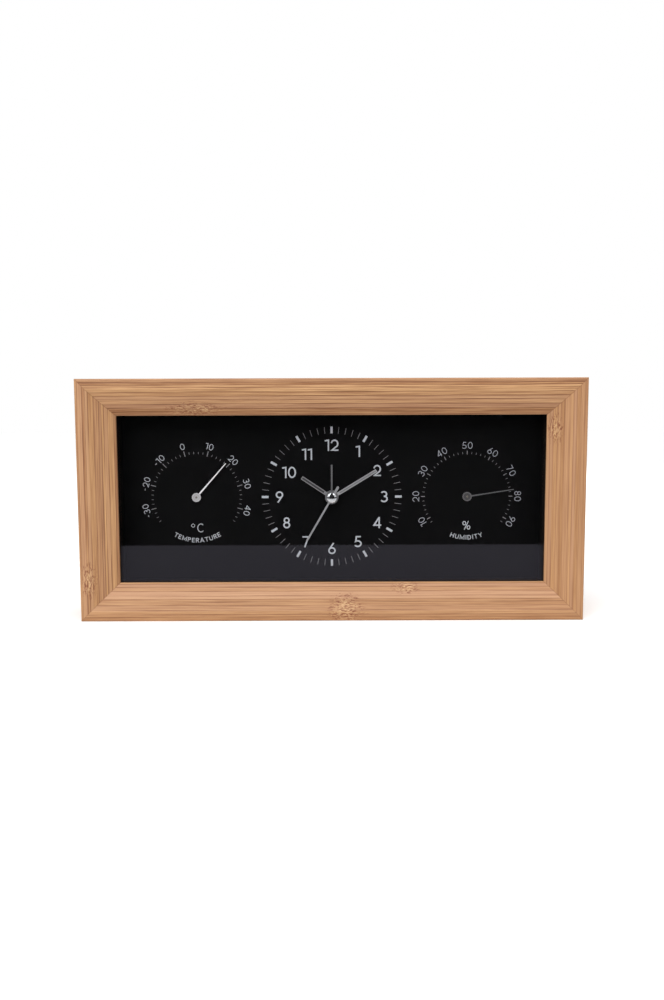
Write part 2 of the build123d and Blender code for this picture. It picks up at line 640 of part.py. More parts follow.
def movement_rear_case():
    """Rear shell with the wheel room, the open battery bay, the sounder holes and the switch slot."""
    shell = slab(shell_outline(), PLATE_BACK, MOVEMENT_BACK)
    shell += ears(PLATE_BACK, PLATE_BACK + REAR_EAR_THICKNESS)
    room_z = CENTRE_Z + (ROOM_ABOVE - ROOM_BELOW) / 2
    shell -= block(ROOM_WIDTH, ROOM_ABOVE + ROOM_BELOW, PLATE_BACK - OVERRUN, ROOM_BACK, z=room_z)
    shell -= block(BAY_LENGTH, BAY_HEIGHT, PLATE_BACK - OVERRUN, MOVEMENT_BACK + OVERRUN, z=CELL_Z)
    notch_start = MOVEMENT_BACK - FINGER_NOTCH_DEPTH
    notch_z = BAY_BOTTOM - SHELL_WALL / 2
    shell -= block(FINGER_NOTCH_WIDTH, 2 * SHELL_WALL, notch_start, MOVEMENT_BACK + OVERRUN, z=notch_z)
    stud_start = SECOND_LAYER - PRESS_GAP
    shell += rod(STUD_RADIUS, stud_start, ROOM_BACK, *INTERMEDIATE_PLACE)
    for spot in (CENTRE, THIRD_PLACE, ROTOR_PLACE):
        shell -= rod(ARBOR_RADIUS + RUNNING_GAP, ROOM_BACK - OVERRUN, REAR_PIVOT + RUNNING_GAP, *spot)
    for spot in (SET_PLACE, ALARM_PLACE):
        shell -= rod(SET_ARBOR_RADIUS + RUNNING_GAP, ROOM_BACK - OVERRUN, MOVEMENT_BACK + OVERRUN, *spot)
    for index in range(SOUND_HOLE_COUNT):
        spot = polar(BUZZER_PLACE, SOUND_RING_RADIUS, index * 360 / SOUND_HOLE_COUNT)
        shell -= rod(SOUND_HOLE_RADIUS, ROOM_BACK - OVERRUN, MOVEMENT_BACK + OVERRUN, *spot)
    shell -= rod(SOUND_HOLE_RADIUS, ROOM_BACK - OVERRUN, MOVEMENT_BACK + OVERRUN, *BUZZER_PLACE)
    slot_length = SWITCH_STEM_WIDTH + SWITCH_TRAVEL + 2 * SWITCH_GAP
    slot_height = SWITCH_STEM_HEIGHT + 2 * SWITCH_GAP
    shell -= block(slot_length, slot_height, ROOM_BACK - OVERRUN, MOVEMENT_BACK + OVERRUN, *SWITCH_MIDDLE)
    rail_length = SWITCH_BASE_LENGTH + SWITCH_TRAVEL
    rail_rise = SWITCH_BASE_HEIGHT / 2 + SWITCH_GAP + SWITCH_RAIL_THICKNESS / 2
    rail_start = ROOM_BACK - SWITCH_BASE_THICKNESS - SWITCH_GAP
    for level in (-1, 1):
        rail_z = SWITCH_MIDDLE[1] + level * rail_rise
        shell += block(rail_length, SWITCH_RAIL_THICKNESS, rail_start, ROOM_BACK, SWITCH_MIDDLE[0], rail_z)
    return shell


def movement_screws():
    """Screws through both pairs of ears into the dial board."""
    seat = PLATE_BACK + REAR_EAR_THICKNESS
    length = seat - BOARD_BACK + MOVEMENT_SCREW_GRIP
    return Compound([screw(x, z, seat, length) for x, z in EAR_SPOTS])


# Battery and its contacts

def battery_cell():
    """Round cell lying across the bay, with its stud to the right."""
    body_length = CELL_LENGTH - CELL_STUD_LENGTH
    body = Rot(0, 90, 0) * Cylinder(CELL_RADIUS, body_length)
    body = fillet(body.edges().filter_by(GeomType.CIRCLE), CELL_EDGE_ROUND)
    stud = Rot(0, 90, 0) * Cylinder(CELL_STUD_RADIUS, CELL_STUD_LENGTH)
    stud = Pos((body_length + CELL_STUD_LENGTH) / 2, 0, 0) * stud
    return Pos(-CELL_STUD_LENGTH / 2, FRONT + CELL_DEPTH, CELL_Z) * (body + stud)


def contact_strip(points):
    """Bent strip of contact metal across the middle of the bay."""
    path = Polyline(*points)
    start = CELL_DEPTH - CONTACT_WIDTH / 2
    return slab(trace(path, CONTACT_THICKNESS), start, start + CONTACT_WIDTH)


def battery_contact_plus():
    """Flat plate on the right end wall with a boss that meets the stud."""
    wall = BAY_LENGTH / 2 - CONTACT_THICKNESS / 2
    half = CELL_RADIUS - CONTACT_THICKNESS
    plate = contact_strip([(wall, CELL_Z - half), (wall, CELL_Z + half)])
    boss_length = CONTACT_ROOM - CONTACT_THICKNESS
    boss = Rot(0, 90, 0) * Cylinder(CONTACT_BOSS_RADIUS, boss_length)
    return plate + Pos(CELL_LENGTH / 2 + boss_length / 2, FRONT + CELL_DEPTH, CELL_Z) * boss


def battery_contact_minus():
    """Bowed leaf on the left end wall that presses on the flat end of the cell."""
    wall = -BAY_LENGTH / 2 + CONTACT_THICKNESS / 2
    crest = -CELL_LENGTH / 2 - CONTACT_THICKNESS / 2
    half = CELL_RADIUS - CONTACT_THICKNESS
    crest_half = CONTACT_BOSS_RADIUS
    points = [
        (wall, CELL_Z - half),
        (crest, CELL_Z - crest_half),
        (crest, CELL_Z + crest_half),
        (wall, CELL_Z + half),
    ]
    return contact_strip(points)


# Circuit, sounder and stepping motor

def circuit_board():
    """Board on four posts with the sealed chip on its rear face."""
    board = block(BOARD_WIDTH, BOARD_HEIGHT, BOARD_FACE, BOARD_FACE + BOARD_THICKNESS, BOARD_X, BOARD_Z)
    chip_start = BOARD_FACE + BOARD_THICKNESS
    chip = rod(CHIP_RADIUS, chip_start, chip_start + CHIP_HEIGHT, BOARD_X, BOARD_Z + BOARD_HEIGHT / 4)
    chip = fillet(chip.edges().sort_by(Axis.Y)[-1], CHIP_HEIGHT / 2)
    return board + chip


def quartz_crystal():
    """Crystal can lying on the board."""
    can = Rot(0, 90, 0) * Cylinder(CRYSTAL_RADIUS, CRYSTAL_LENGTH)
    depth = BOARD_FACE + BOARD_THICKNESS + CRYSTAL_RADIUS
    return Pos(BOARD_X, FRONT + depth, BOARD_Z - BOARD_HEIGHT / 4) * can


def buzzer():
    """Round sounder behind the holes of the rear shell, with a raised rim."""
    start = ROOM_BACK - BUZZER_HEIGHT
    body = rod(BUZZER_RADIUS, start, ROOM_BACK, *BUZZER_PLACE)
    chamber_start = ROOM_BACK - BUZZER_LIP_HEIGHT
    chamber = rod(BUZZER_RADIUS - BUZZER_LIP_WIDTH, chamber_start, ROOM_BACK + OVERRUN, *BUZZER_PLACE)
    return body - chamber


def motor_stator():
    """Flat yoke with the rotor hole and a leg for each end of the core."""
    width = STATOR_LEFT + STATOR_RIGHT
    middle = STATOR_X + (STATOR_RIGHT - STATOR_LEFT) / 2
    yoke = Pos(middle, STATOR_Z) * Rectangle(width, 2 * STATOR_HALF_HEIGHT)
    for x, z in LEG_SPOTS:
        yoke += Pos(x, (STATOR_Z + z) / 2) * Rectangle(STATOR_LEG_WIDTH, z - STATOR_Z)
        yoke += Pos(x, z) * Circle(STATOR_LEG_WIDTH / 2)
    yoke -= Pos(STATOR_X, STATOR_Z) * Circle(MAGNET_RADIUS + MAGNET_AIR_GAP)
    return slab(yoke, STATOR_FACE, CORE_FACE)


CORE_MIDDLE = (LEG_SPOTS[0][0] + LEG_SPOTS[1][0]) / 2
CORE_SPAN = LEG_SPOTS[1][0] - LEG_SPOTS[0][0]
CORE_Z = LEG_SPOTS[0][1]


def motor_core():
    """Soft iron bar on the legs of the yoke, through the coil."""
    bar = Pos(CORE_MIDDLE, CORE_Z) * SlotOverall(CORE_SPAN + CORE_WIDTH, CORE_WIDTH)
    return slab(bar, CORE_FACE, CORE_FACE + STATOR_THICKNESS)


def motor_coil():
    """Bobbin with its winding between the legs."""
    length = CORE_SPAN - STATOR_LEG_WIDTH - 2 * CORE_GAP
    along = Rot(0, 90, 0)
    winding = along * Cylinder(COIL_RADIUS, length)
    flange = along * Cylinder(COIL_FLANGE_RADIUS, COIL_FLANGE_THICKNESS)
    end = (length - COIL_FLANGE_THICKNESS) / 2
    spool = winding + Pos(end, 0, 0) * flange + Pos(-end, 0, 0) * flange
    depth = CORE_FACE + STATOR_THICKNESS / 2
    hole = Box(length + OVERRUN, STATOR_THICKNESS + 2 * PRESS_GAP, CORE_WIDTH + 2 * PRESS_GAP)
    return Pos(CORE_MIDDLE, FRONT + depth, CORE_Z) * (spool - hole)


def motor_rotor():
    """Magnet on a thin arbor with its drive pinion."""
    radius, _ = pitch_radii(ROTOR_DISTANCE, ROTOR_PINION_TEETH, INTERMEDIATE_WHEEL_TEETH)
    phase = meshed_phase(INTERMEDIATE_WHEEL_TEETH, 0, ROTOR_PINION_TEETH, ROTOR_DIRECTION)
    magnet_start = STATOR_FACE + STATOR_THICKNESS / 2 - MAGNET_LENGTH / 2
    rotor = rod(ARBOR_RADIUS, FRONT_PIVOT, REAR_PIVOT, *ROTOR_PLACE)
    rotor += rod(MAGNET_RADIUS, magnet_start, magnet_start + MAGNET_LENGTH, *ROTOR_PLACE)
    return rotor + gear(ROTOR_PINION_TEETH, radius, phase, ROTOR_LAYER, ROTOR_PLACE)


# Wheel train

def intermediate_wheel():
    """Wheel and pinion that turn on a stud of the rear shell."""
    _, wheel_radius = pitch_radii(ROTOR_DISTANCE, ROTOR_PINION_TEETH, INTERMEDIATE_WHEEL_TEETH)
    _, pinion_radius = pitch_radii(INTERMEDIATE_DISTANCE, SECOND_WHEEL_TEETH, INTERMEDIATE_PINION_TEETH)
    phase = meshed_phase(SECOND_WHEEL_TEETH, 0, INTERMEDIATE_PINION_TEETH, INTERMEDIATE_DIRECTION)
    bore = STUD_RADIUS + RUNNING_GAP
    wheel = gear(INTERMEDIATE_WHEEL_TEETH, wheel_radius, 0, ROTOR_LAYER, INTERMEDIATE_PLACE)
    wheel += gear(INTERMEDIATE_PINION_TEETH, pinion_radius, phase, SECOND_LAYER, INTERMEDIATE_PLACE)
    wheel += rod(bore + HUB_WALL / 2, SECOND_LAYER, ROTOR_LAYER, *INTERMEDIATE_PLACE)
    return wheel - rod(bore, SECOND_LAYER - OVERRUN, ROOM_BACK, *INTERMEDIATE_PLACE)


def seconds_wheel():
    """Wheel, pinion and long arbor that carries the second hand."""
    wheel_radius, _ = pitch_radii(INTERMEDIATE_DISTANCE, SECOND_WHEEL_TEETH, INTERMEDIATE_PINION_TEETH)
    pinion_radius, _ = pitch_radii(THIRD_DISTANCE, SECOND_PINION_TEETH, THIRD_WHEEL_TEETH)
    wheel = gear(SECOND_WHEEL_TEETH, wheel_radius, 0, SECOND_LAYER, CENTRE)
    wheel -= lightening_holes(wheel_radius / 2, SECOND_LAYER, CENTRE)
    wheel += gear(SECOND_PINION_TEETH, pinion_radius, 0, THIRD_LAYER, CENTRE)
    return wheel + rod(ARBOR_RADIUS, SECOND_HAND_FACE, REAR_PIVOT, *CENTRE)


def third_wheel():
    """Wheel driven by the seconds pinion, whose own pinion drives the centre wheel."""
    _, wheel_radius = pitch_radii(THIRD_DISTANCE, SECOND_PINION_TEETH, THIRD_WHEEL_TEETH)
    pinion_radius, _ = pitch_radii(THIRD_DISTANCE, THIRD_PINION_TEETH, CENTRE_WHEEL_TEETH)
    wheel_phase = meshed_phase(SECOND_PINION_TEETH, 0, THIRD_WHEEL_TEETH, THIRD_DIRECTION)
    pinion_phase = meshed_phase(CENTRE_WHEEL_TEETH, 0, THIRD_PINION_TEETH, THIRD_DIRECTION)
    wheel = gear(THIRD_WHEEL_TEETH, wheel_radius, wheel_phase, THIRD_LAYER, THIRD_PLACE)
    wheel -= lightening_holes(wheel_radius / 2, THIRD_LAYER, THIRD_PLACE)
    wheel += gear(THIRD_PINION_TEETH, pinion_radius, pinion_phase, CENTRE_LAYER, THIRD_PLACE)
    return wheel + rod(ARBOR_RADIUS, FRONT_PIVOT, REAR_PIVOT, *THIRD_PLACE)


def centre_wheel():
    """Minute wheel with its cannon pinion and the pipe of the minute hand."""
    _, wheel_radius = pitch_radii(THIRD_DISTANCE, THIRD_PINION_TEETH, CENTRE_WHEEL_TEETH)
    pinion_radius, _ = pitch_radii(MOTION_DISTANCE, CANNON_PINION_TEETH, MOTION_WHEEL_TEETH)
    wheel = gear(CENTRE_WHEEL_TEETH, wheel_radius, 0, CENTRE_LAYER, CENTRE)
    wheel -= lightening_holes(wheel_radius / 2, CENTRE_LAYER, CENTRE)
    wheel += gear(CANNON_PINION_TEETH, pinion_radius, 0, MOTION_LAYER, CENTRE)
    wheel += rod(MINUTE_PIPE_RADIUS, MINUTE_HAND_FACE, CENTRE_LAYER, *CENTRE)
    bore = ARBOR_RADIUS + RUNNING_GAP
    return wheel - rod(bore, MINUTE_HAND_FACE - OVERRUN, THIRD_LAYER, *CENTRE)


MOTION_PHASE = meshed_phase(CANNON_PINION_TEETH, 0, MOTION_WHEEL_TEETH, MOTION_DIRECTION)


def motion_wheel():
    """Reduction wheel between the minute and the hour, on a stud of the front plate."""
    _, wheel_radius = pitch_radii(MOTION_DISTANCE, CANNON_PINION_TEETH, MOTION_WHEEL_TEETH)
    pinion_radius, _ = pitch_radii(MOTION_DISTANCE, MOTION_PINION_TEETH, HOUR_WHEEL_TEETH)
    pinion_phase = meshed_phase(HOUR_WHEEL_TEETH, 0, MOTION_PINION_TEETH, MOTION_DIRECTION)
    bore = STUD_RADIUS + RUNNING_GAP
    wheel = gear(MOTION_WHEEL_TEETH, wheel_radius, MOTION_PHASE, MOTION_LAYER, MOTION_PLACE)
    wheel += gear(MOTION_PINION_TEETH, pinion_radius, pinion_phase, HOUR_LAYER, MOTION_PLACE)
    wheel += rod(bore + HUB_WALL, HOUR_LAYER, MOTION_LAYER, *MOTION_PLACE)
    return wheel - rod(bore, HOUR_LAYER - OVERRUN, CENTRE_LAYER, *MOTION_PLACE)


def hour_wheel():
    """Hour wheel with the pipe of the hour hand."""
    _, radius = pitch_radii(MOTION_DISTANCE, MOTION_PINION_TEETH, HOUR_WHEEL_TEETH)
    wheel = gear(HOUR_WHEEL_TEETH, radius, 0, HOUR_LAYER, CENTRE)
    wheel += rod(HOUR_PIPE_RADIUS, HOUR_HAND_FACE, HOUR_LAYER, *CENTRE)
    bore = MINUTE_PIPE_RADIUS + RUNNING_GAP
    return wheel - rod(bore, HOUR_HAND_FACE - OVERRUN, HOUR_LAYER + WHEEL_THICKNESS + OVERRUN, *CENTRE)


ALARM_PHASE = meshed_phase(ALARM_WHEEL_TEETH, 0, ALARM_GEAR_TEETH, ALARM_DIRECTION)


def alarm_wheel():
    """Alarm wheel with the pipe of the alarm hand."""
    radius, _ = pitch_radii(ALARM_DISTANCE, ALARM_WHEEL_TEETH, ALARM_GEAR_TEETH)
    wheel = gear(ALARM_WHEEL_TEETH, radius, 0, ALARM_LAYER, CENTRE)
    wheel += rod(ALARM_PIPE_RADIUS, ALARM_HAND_FACE, ALARM_LAYER, *CENTRE)
    bore = HOUR_PIPE_RADIUS + RUNNING_GAP
    return wheel - rod(bore, ALARM_HAND_FACE - OVERRUN, ALARM_LAYER + WHEEL_THICKNESS + OVERRUN, *CENTRE)


# Setting arbors, knobs and the alarm switch

KNOB_START = MOVEMENT_BACK + KNOB_GAP
KNOB_BACK = KNOB_START + KNOB_LENGTH
SET_ARBOR_BACK = KNOB_BACK - KNOB_FLOOR


def time_set_gear():
    """Arbor with the pinion that turns the motion wheel."""
    radius, _ = pitch_radii(SET_DISTANCE, SET_PINION_TEETH, MOTION_WHEEL_TEETH)
    phase = meshed_phase(MOTION_WHEEL_TEETH, MOTION_PHASE, SET_PINION_TEETH, MOTION_DIRECTION)
    arbor = rod(SET_ARBOR_RADIUS, FRONT_PIVOT, SET_ARBOR_BACK, *SET_PLACE)
    return arbor + gear(SET_PINION_TEETH, radius, phase, MOTION_LAYER, SET_PLACE)


def alarm_set_gear():
    """Arbor with the gear that turns the alarm wheel."""
    _, radius = pitch_radii(ALARM_DISTANCE, ALARM_WHEEL_TEETH, ALARM_GEAR_TEETH)
    arbor = rod(SET_ARBOR_RADIUS, FRONT_PIVOT, SET_ARBOR_BACK, *ALARM_PLACE)
    return arbor + gear(ALARM_GEAR_TEETH, radius, ALARM_PHASE, ALARM_LAYER, ALARM_PLACE)


def set_knob(place):
    """Ridged knob with a dished end, pressed on a setting arbor."""
    points = []
    for ridge in range(KNOB_RIDGES):
        for share, radius in ((0, KNOB_RADIUS - KNOB_RIDGE_DEPTH), (1, KNOB_RADIUS), (2, KNOB_RADIUS)):
            points.append(polar((0, 0), radius, (ridge + share / 3) * 360 / KNOB_RIDGES))
    knob = slab(Pos(*place) * Polygon(*points, align=None), KNOB_START, KNOB_BACK)
    knob -= rod(KNOB_DISH_RADIUS, KNOB_BACK - KNOB_DISH_DEPTH, KNOB_BACK + OVERRUN, *place)
    return knob - rod(SET_ARBOR_RADIUS + PRESS_GAP, KNOB_START - OVERRUN, SET_ARBOR_BACK, *place)


def alarm_switch_slider():
    """Slide of the alarm switch: a base on rails and a stem through the slot."""
    base_start = ROOM_BACK - SWITCH_BASE_THICKNESS - SWITCH_GAP / 2
    base_end = base_start + SWITCH_BASE_THICKNESS
    slide = block(SWITCH_BASE_LENGTH, SWITCH_BASE_HEIGHT, base_start, base_end, *SWITCH_PLACE)
    stem_end = ROOM_BACK + SWITCH_STEM_LENGTH
    stem = block(SWITCH_STEM_WIDTH, SWITCH_STEM_HEIGHT, base_end, stem_end, *SWITCH_PLACE)
    stem = chamfer(stem.edges().group_by(Axis.Y)[-1], SWITCH_GAP)
    return slide + stem


# Hands

ALARM_HAND_BACK = DIAL_FACE - ALARM_HAND_LIFT
ALARM_HAND_FACE = ALARM_HAND_BACK - ALARM_HAND_THICKNESS
HOUR_HAND_BACK = DIAL_FACE - HOUR_HAND_LIFT
HOUR_HAND_FACE = HOUR_HAND_BACK - HAND_THICKNESS
MINUTE_HAND_BACK = DIAL_FACE - MINUTE_HAND_LIFT
MINUTE_HAND_FACE = MINUTE_HAND_BACK - HAND_THICKNESS
SECOND_HAND_BACK = DIAL_FACE - SECOND_HAND_LIFT
SECOND_HAND_FACE = SECOND_HAND_BACK - SECOND_HAND_THICKNESS


def hand_blade(length, width):
    """Square-ended blade that points up from the hub."""
    return Pos(0, length / 2) * Rectangle(width, length)


def clock_hand(blade, pipe_radius, face, back):
    """Blade with a round hub and a collar that presses on its pipe."""
    hand = slab(blade + Circle(HAND_HUB_RADIUS), face, back)
    hand += rod(pipe_radius + HAND_COLLAR_WALL, back, back + HAND_COLLAR_LENGTH)
    return hand - rod(pipe_radius + PRESS_GAP, face - OVERRUN, back + HAND_COLLAR_LENGTH + OVERRUN)


def blade_groove(length, width, face):
    """Sunk middle of a blade, inside its raised rim."""
    groove_length = length - HAND_RIM_WIDTH - HAND_GROOVE_START
    groove = Rectangle(width - 2 * HAND_RIM_WIDTH, groove_length)
    middle = HAND_GROOVE_START + groove_length / 2
    return slab(Pos(0, middle) * groove, face - OVERRUN, face + HAND_GROOVE_DEPTH)


def alarm_hand():
    blade = hand_blade(ALARM_HAND_LENGTH, ALARM_HAND_WIDTH)
    hand = clock_hand(blade, ALARM_PIPE_RADIUS, ALARM_HAND_FACE, ALARM_HAND_BACK)
    return turned(hand, ALARM_ANGLE, *CENTRE)


def hour_hand():
    blade = hand_blade(HOUR_HAND_LENGTH, HOUR_HAND_WIDTH)
    hand = clock_hand(blade, HOUR_PIPE_RADIUS, HOUR_HAND_FACE, HOUR_HAND_BACK)
    hand -= blade_groove(HOUR_HAND_LENGTH, HOUR_HAND_WIDTH, HOUR_HAND_FACE)
    return turned(hand, HOUR_ANGLE, *CENTRE)


def minute_hand():
    blade = hand_blade(MINUTE_HAND_LENGTH, MINUTE_HAND_WIDTH)
    hand = clock_hand(blade, MINUTE_PIPE_RADIUS, MINUTE_HAND_FACE, MINUTE_HAND_BACK)
    hand -= blade_groove(MINUTE_HAND_LENGTH, MINUTE_HAND_WIDTH, MINUTE_HAND_FACE)
    return turned(hand, MINUTE_ANGLE, *CENTRE)


def second_hand():
    """Thin hand with a round-ended tail and a collar on the seconds arbor."""
    blade = hand_blade(SECOND_HAND_LENGTH, SECOND_HAND_WIDTH)
    tail_middle = (SECOND_HAND_TAIL - SECOND_HAND_TAIL_WIDTH / 2) / 2
    tail = Pos(0, -tail_middle) * Rectangle(SECOND_HAND_TAIL_WIDTH, 2 * tail_middle)
    tail += Pos(0, -2 * tail_middle) * Circle(SECOND_HAND_TAIL_WIDTH / 2)
    hand = slab(blade + tail + Circle(SECOND_HAND_HUB_RADIUS), SECOND_HAND_FACE, SECOND_HAND_BACK)
    collar_end = SECOND_HAND_BACK + HAND_COLLAR_LENGTH
    hand += rod(ARBOR_RADIUS + HAND_COLLAR_WALL / 2, SECOND_HAND_BACK, collar_end)
    hand -= rod(ARBOR_RADIUS + PRESS_GAP, SECOND_HAND_FACE - OVERRUN, collar_end + OVERRUN)
    return turned(hand, SECOND_ANGLE, *CENTRE)


def hand_cap():
    """Polished dome over the end of the seconds arbor."""
    skirt = SECOND_HAND_FACE - CAP_SKIRT
    dome_height = CAP_HEIGHT - CAP_SKIRT
    sphere_radius = (CAP_RADIUS ** 2 + dome_height ** 2) / (2 * dome_height)
    dome = Pos(0, FRONT + skirt + sphere_radius - dome_height, CENTRE_Z) * Sphere(sphere_radius)
    return dome & rod(CAP_RADIUS, skirt - dome_height - OVERRUN, SECOND_HAND_FACE, *CENTRE)


# Thermometer and hygrometer

CUP_FLOOR = BOARD_BACK + CUP_WALL
BUSH_BACK = CUP_FLOOR + CUP_BUSH_LENGTH
COLLET_START = BUSH_BACK + STRIP_GAP
COLLET_BACK = COLLET_START + COLLET_LENGTH
COIL_START = COLLET_START + STRIP_GAP


def strip_end_radius(pitch, half_turns):
    """Radius of the outer end of a wound strip, from the arbor to its outer side."""
    start_radius = COLLET_RADIUS + STRIP_GAP + STRIP_THICKNESS / 2 + pitch / 4
    return start_radius + (half_turns - 1) * pitch / 2 + STRIP_THICKNESS / 2


def sensor_cup(x, pitch, half_turns):
    """Open cup behind the dial, with a bush for the arbor, screw ears and a post for the strip."""
    end = BOARD_BACK + CUP_LENGTH
    cup = rod(CUP_RADIUS, BOARD_BACK, end, x, CENTRE_Z)
    cup -= rod(CUP_RADIUS - CUP_WALL, CUP_FLOOR, end + OVERRUN, x, CENTRE_Z)
    for side in (-1, 1):
        ear_x = x + side * CUP_EAR_MIDDLE
        bridge_x = ear_x - side * CUP_EAR_REACH / 2
        bridge = Pos(bridge_x, CENTRE_Z) * Rectangle(CUP_EAR_REACH, 2 * CUP_EAR_RADIUS)
        ear = slab(bridge + Pos(ear_x, CENTRE_Z) * Circle(CUP_EAR_RADIUS), BOARD_BACK, CUP_FLOOR)
        cup += ear - rod(CUP_RADIUS - CUP_WALL, BOARD_BACK - OVERRUN, end, x, CENTRE_Z)
        cup -= screw_hole(ear_x, CENTRE_Z, BOARD_BACK - OVERRUN, CUP_FLOOR + OVERRUN, SCREW_HOLE_GAP)
    cup += rod(CUP_BUSH_RADIUS, SHEET_BACK, BUSH_BACK, x, CENTRE_Z)
    cup -= rod(ARBOR_RADIUS + RUNNING_GAP, SHEET_BACK - OVERRUN, BUSH_BACK + OVERRUN, x, CENTRE_Z)
    outer = strip_end_radius(pitch, half_turns)
    end_x = outer - pitch / 4 if half_turns % 2 == 0 else -outer + pitch / 4
    end_x += math.copysign(STRIP_GAP / 2 + CUP_POST_RADIUS, end_x) + pitch / 2
    return cup + rod(CUP_POST_RADIUS, CUP_FLOOR, COLLET_BACK, x + end_x, CENTRE_Z)


def wound_strip(x, pitch, half_turns, width):
    """Flat spiral of thin strip, in half turns round two centres."""
    start_radius = COLLET_RADIUS + STRIP_GAP + STRIP_THICKNESS / 2 + pitch / 4
    half = STRIP_THICKNESS / 2
    edges = []
    for index in range(half_turns):
        shift = pitch / 4 if index % 2 else -pitch / 4
        radius = start_radius + index * pitch / 2
        for offset in (-half, half):
            edges.append(CenterArc((shift, 0), radius + offset, 180 * index, 180))
    last = half_turns - 1
    last_shift = pitch / 4 if last % 2 else -pitch / 4
    last_radius = start_radius + last * pitch / 2
    last_sign = 1 if half_turns % 2 == 0 else -1
    edges.append(Line((start_radius - half - pitch / 4, 0), (start_radius + half - pitch / 4, 0)))
    last_inner = last_shift + last_sign * (last_radius - half)
    last_outer = last_shift + last_sign * (last_radius + half)
    edges.append(Line((last_inner, 0), (last_outer, 0)))
    strip = make_face(edges)
    return slab(Pos(x, CENTRE_Z) * strip, COIL_START, COIL_START + width)


POINTER_BACK = DIAL_FACE - POINTER_LIFT
POINTER_FACE = POINTER_BACK - POINTER_THICKNESS


def sensor_arbor(x):
    """Thin arbor with the collet that the strip turns."""
    arbor = rod(ARBOR_RADIUS, POINTER_FACE, COLLET_BACK, x, CENTRE_Z)
    return arbor + rod(COLLET_RADIUS, COLLET_START, COLLET_BACK, x, CENTRE_Z)


def sensor_pointer(x, length, width, hub_radius, clockwise):
    """Tapered needle with a round hub and a collar on the arbor."""
    tip = width * POINTER_TIP_SHARE
    needle = Polygon((-width / 2, 0), (width / 2, 0), (tip / 2, length), (-tip / 2, length), align=None)
    pointer = slab(needle + Circle(hub_radius), POINTER_FACE, POINTER_BACK)
    collar_end = POINTER_BACK + POINTER_COLLAR_LENGTH
    pointer += rod(ARBOR_RADIUS + POINTER_COLLAR_WALL, POINTER_BACK, collar_end)
    pointer -= rod(ARBOR_RADIUS + PRESS_GAP, POINTER_FACE - OVERRUN, collar_end + OVERRUN)
    return turned(pointer, clockwise, x, CENTRE_Z)


def sensor_screws():
    """Screws through the ears of both cups into the dial board."""
    length = CUP_WALL + SENSOR_SCREW_GRIP
    return Compound([screw(x, z, CUP_FLOOR, length) for x, z in SENSOR_SCREW_SPOTS])


# All pieces by name

def pieces():
    thermo_x, hygro_x = -SENSOR_SPACING, SENSOR_SPACING
    made = frame_members()
    made["mitre_tongues"] = Compound([tongue(side, level, 0) for side, level in CORNERS])
    made["glass_pane"] = glass_pane()
    made["spacer_frame"] = spacer_frame()
    made["dial_sheet"] = dial_sheet()
    made["dial_board"] = dial_board()
    made["corner_blocks"] = corner_blocks()
    made["back_panel"] = back_panel()
    made["panel_screws"] = panel_screws()
    made["movement_front_case"] = movement_front_case()
    made["movement_rear_case"] = movement_rear_case()
    made["movement_screws"] = movement_screws()
    made["battery_cell"] = battery_cell()
    made["battery_contact_plus"] = battery_contact_plus()
    made["battery_contact_minus"] = battery_contact_minus()
    made["circuit_board"] = circuit_board()
    made["quartz_crystal"] = quartz_crystal()
    made["buzzer"] = buzzer()
    made["motor_stator"] = motor_stator()
    made["motor_core"] = motor_core()
    made["motor_coil"] = motor_coil()
    made["motor_rotor"] = motor_rotor()
    made["intermediate_wheel"] = intermediate_wheel()
    made["seconds_wheel"] = seconds_wheel()
    made["third_wheel"] = third_wheel()
    made["centre_wheel"] = centre_wheel()
    made["motion_wheel"] = motion_wheel()
    made["hour_wheel"] = hour_wheel()
    made["alarm_wheel"] = alarm_wheel()
    made["time_set_gear"] = time_set_gear()
    made["time_set_knob"] = set_knob(SET_PLACE)
    made["alarm_set_gear"] = alarm_set_gear()
    made["alarm_set_knob"] = set_knob(ALARM_PLACE)
    made["alarm_switch_slider"] = alarm_switch_slider()
    made["alarm_hand"] = alarm_hand()
    made["hour_hand"] = hour_hand()
    made["minute_hand"] = minute_hand()
    made["second_hand"] = second_hand()
    made["hand_cap"] = hand_cap()
    made["thermo_cup"] = sensor_cup(thermo_x, THERMO_STRIP_PITCH, THERMO_STRIP_HALF_TURNS)
    made["thermo_strip"] = wound_strip(
        thermo_x, THERMO_STRIP_PITCH, THERMO_STRIP_HALF_TURNS, THERMO_STRIP_WIDTH
    )
    made["thermo_arbor"] = sensor_arbor(thermo_x)
    made["thermo_pointer"] = sensor_pointer(
        thermo_x, THERMO_POINTER_LENGTH, THERMO_POINTER_WIDTH, THERMO_HUB_RADIUS, THERMO_ANGLE
    )
    made["hygro_cup"] = sensor_cup(hygro_x, HYGRO_STRIP_PITCH, HYGRO_STRIP_HALF_TURNS)
    made["hygro_strip"] = wound_strip(
        hygro_x, HYGRO_STRIP_PITCH, HYGRO_STRIP_HALF_TURNS, HYGRO_STRIP_WIDTH
    )
    made["hygro_arbor"] = sensor_arbor(hygro_x)
    made["hygro_pointer"] = sensor_pointer(
        hygro_x, HYGRO_POINTER_LENGTH, HYGRO_POINTER_WIDTH, HYGRO_HUB_RADIUS, HYGRO_ANGLE
    )
    made["sensor_screws"] = sensor_screws()
    return made


os.makedirs("parts", exist_ok=True)
for name, shape in pieces().items():
    export_step(shape, "parts/" + name + ".step")
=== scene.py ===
import math

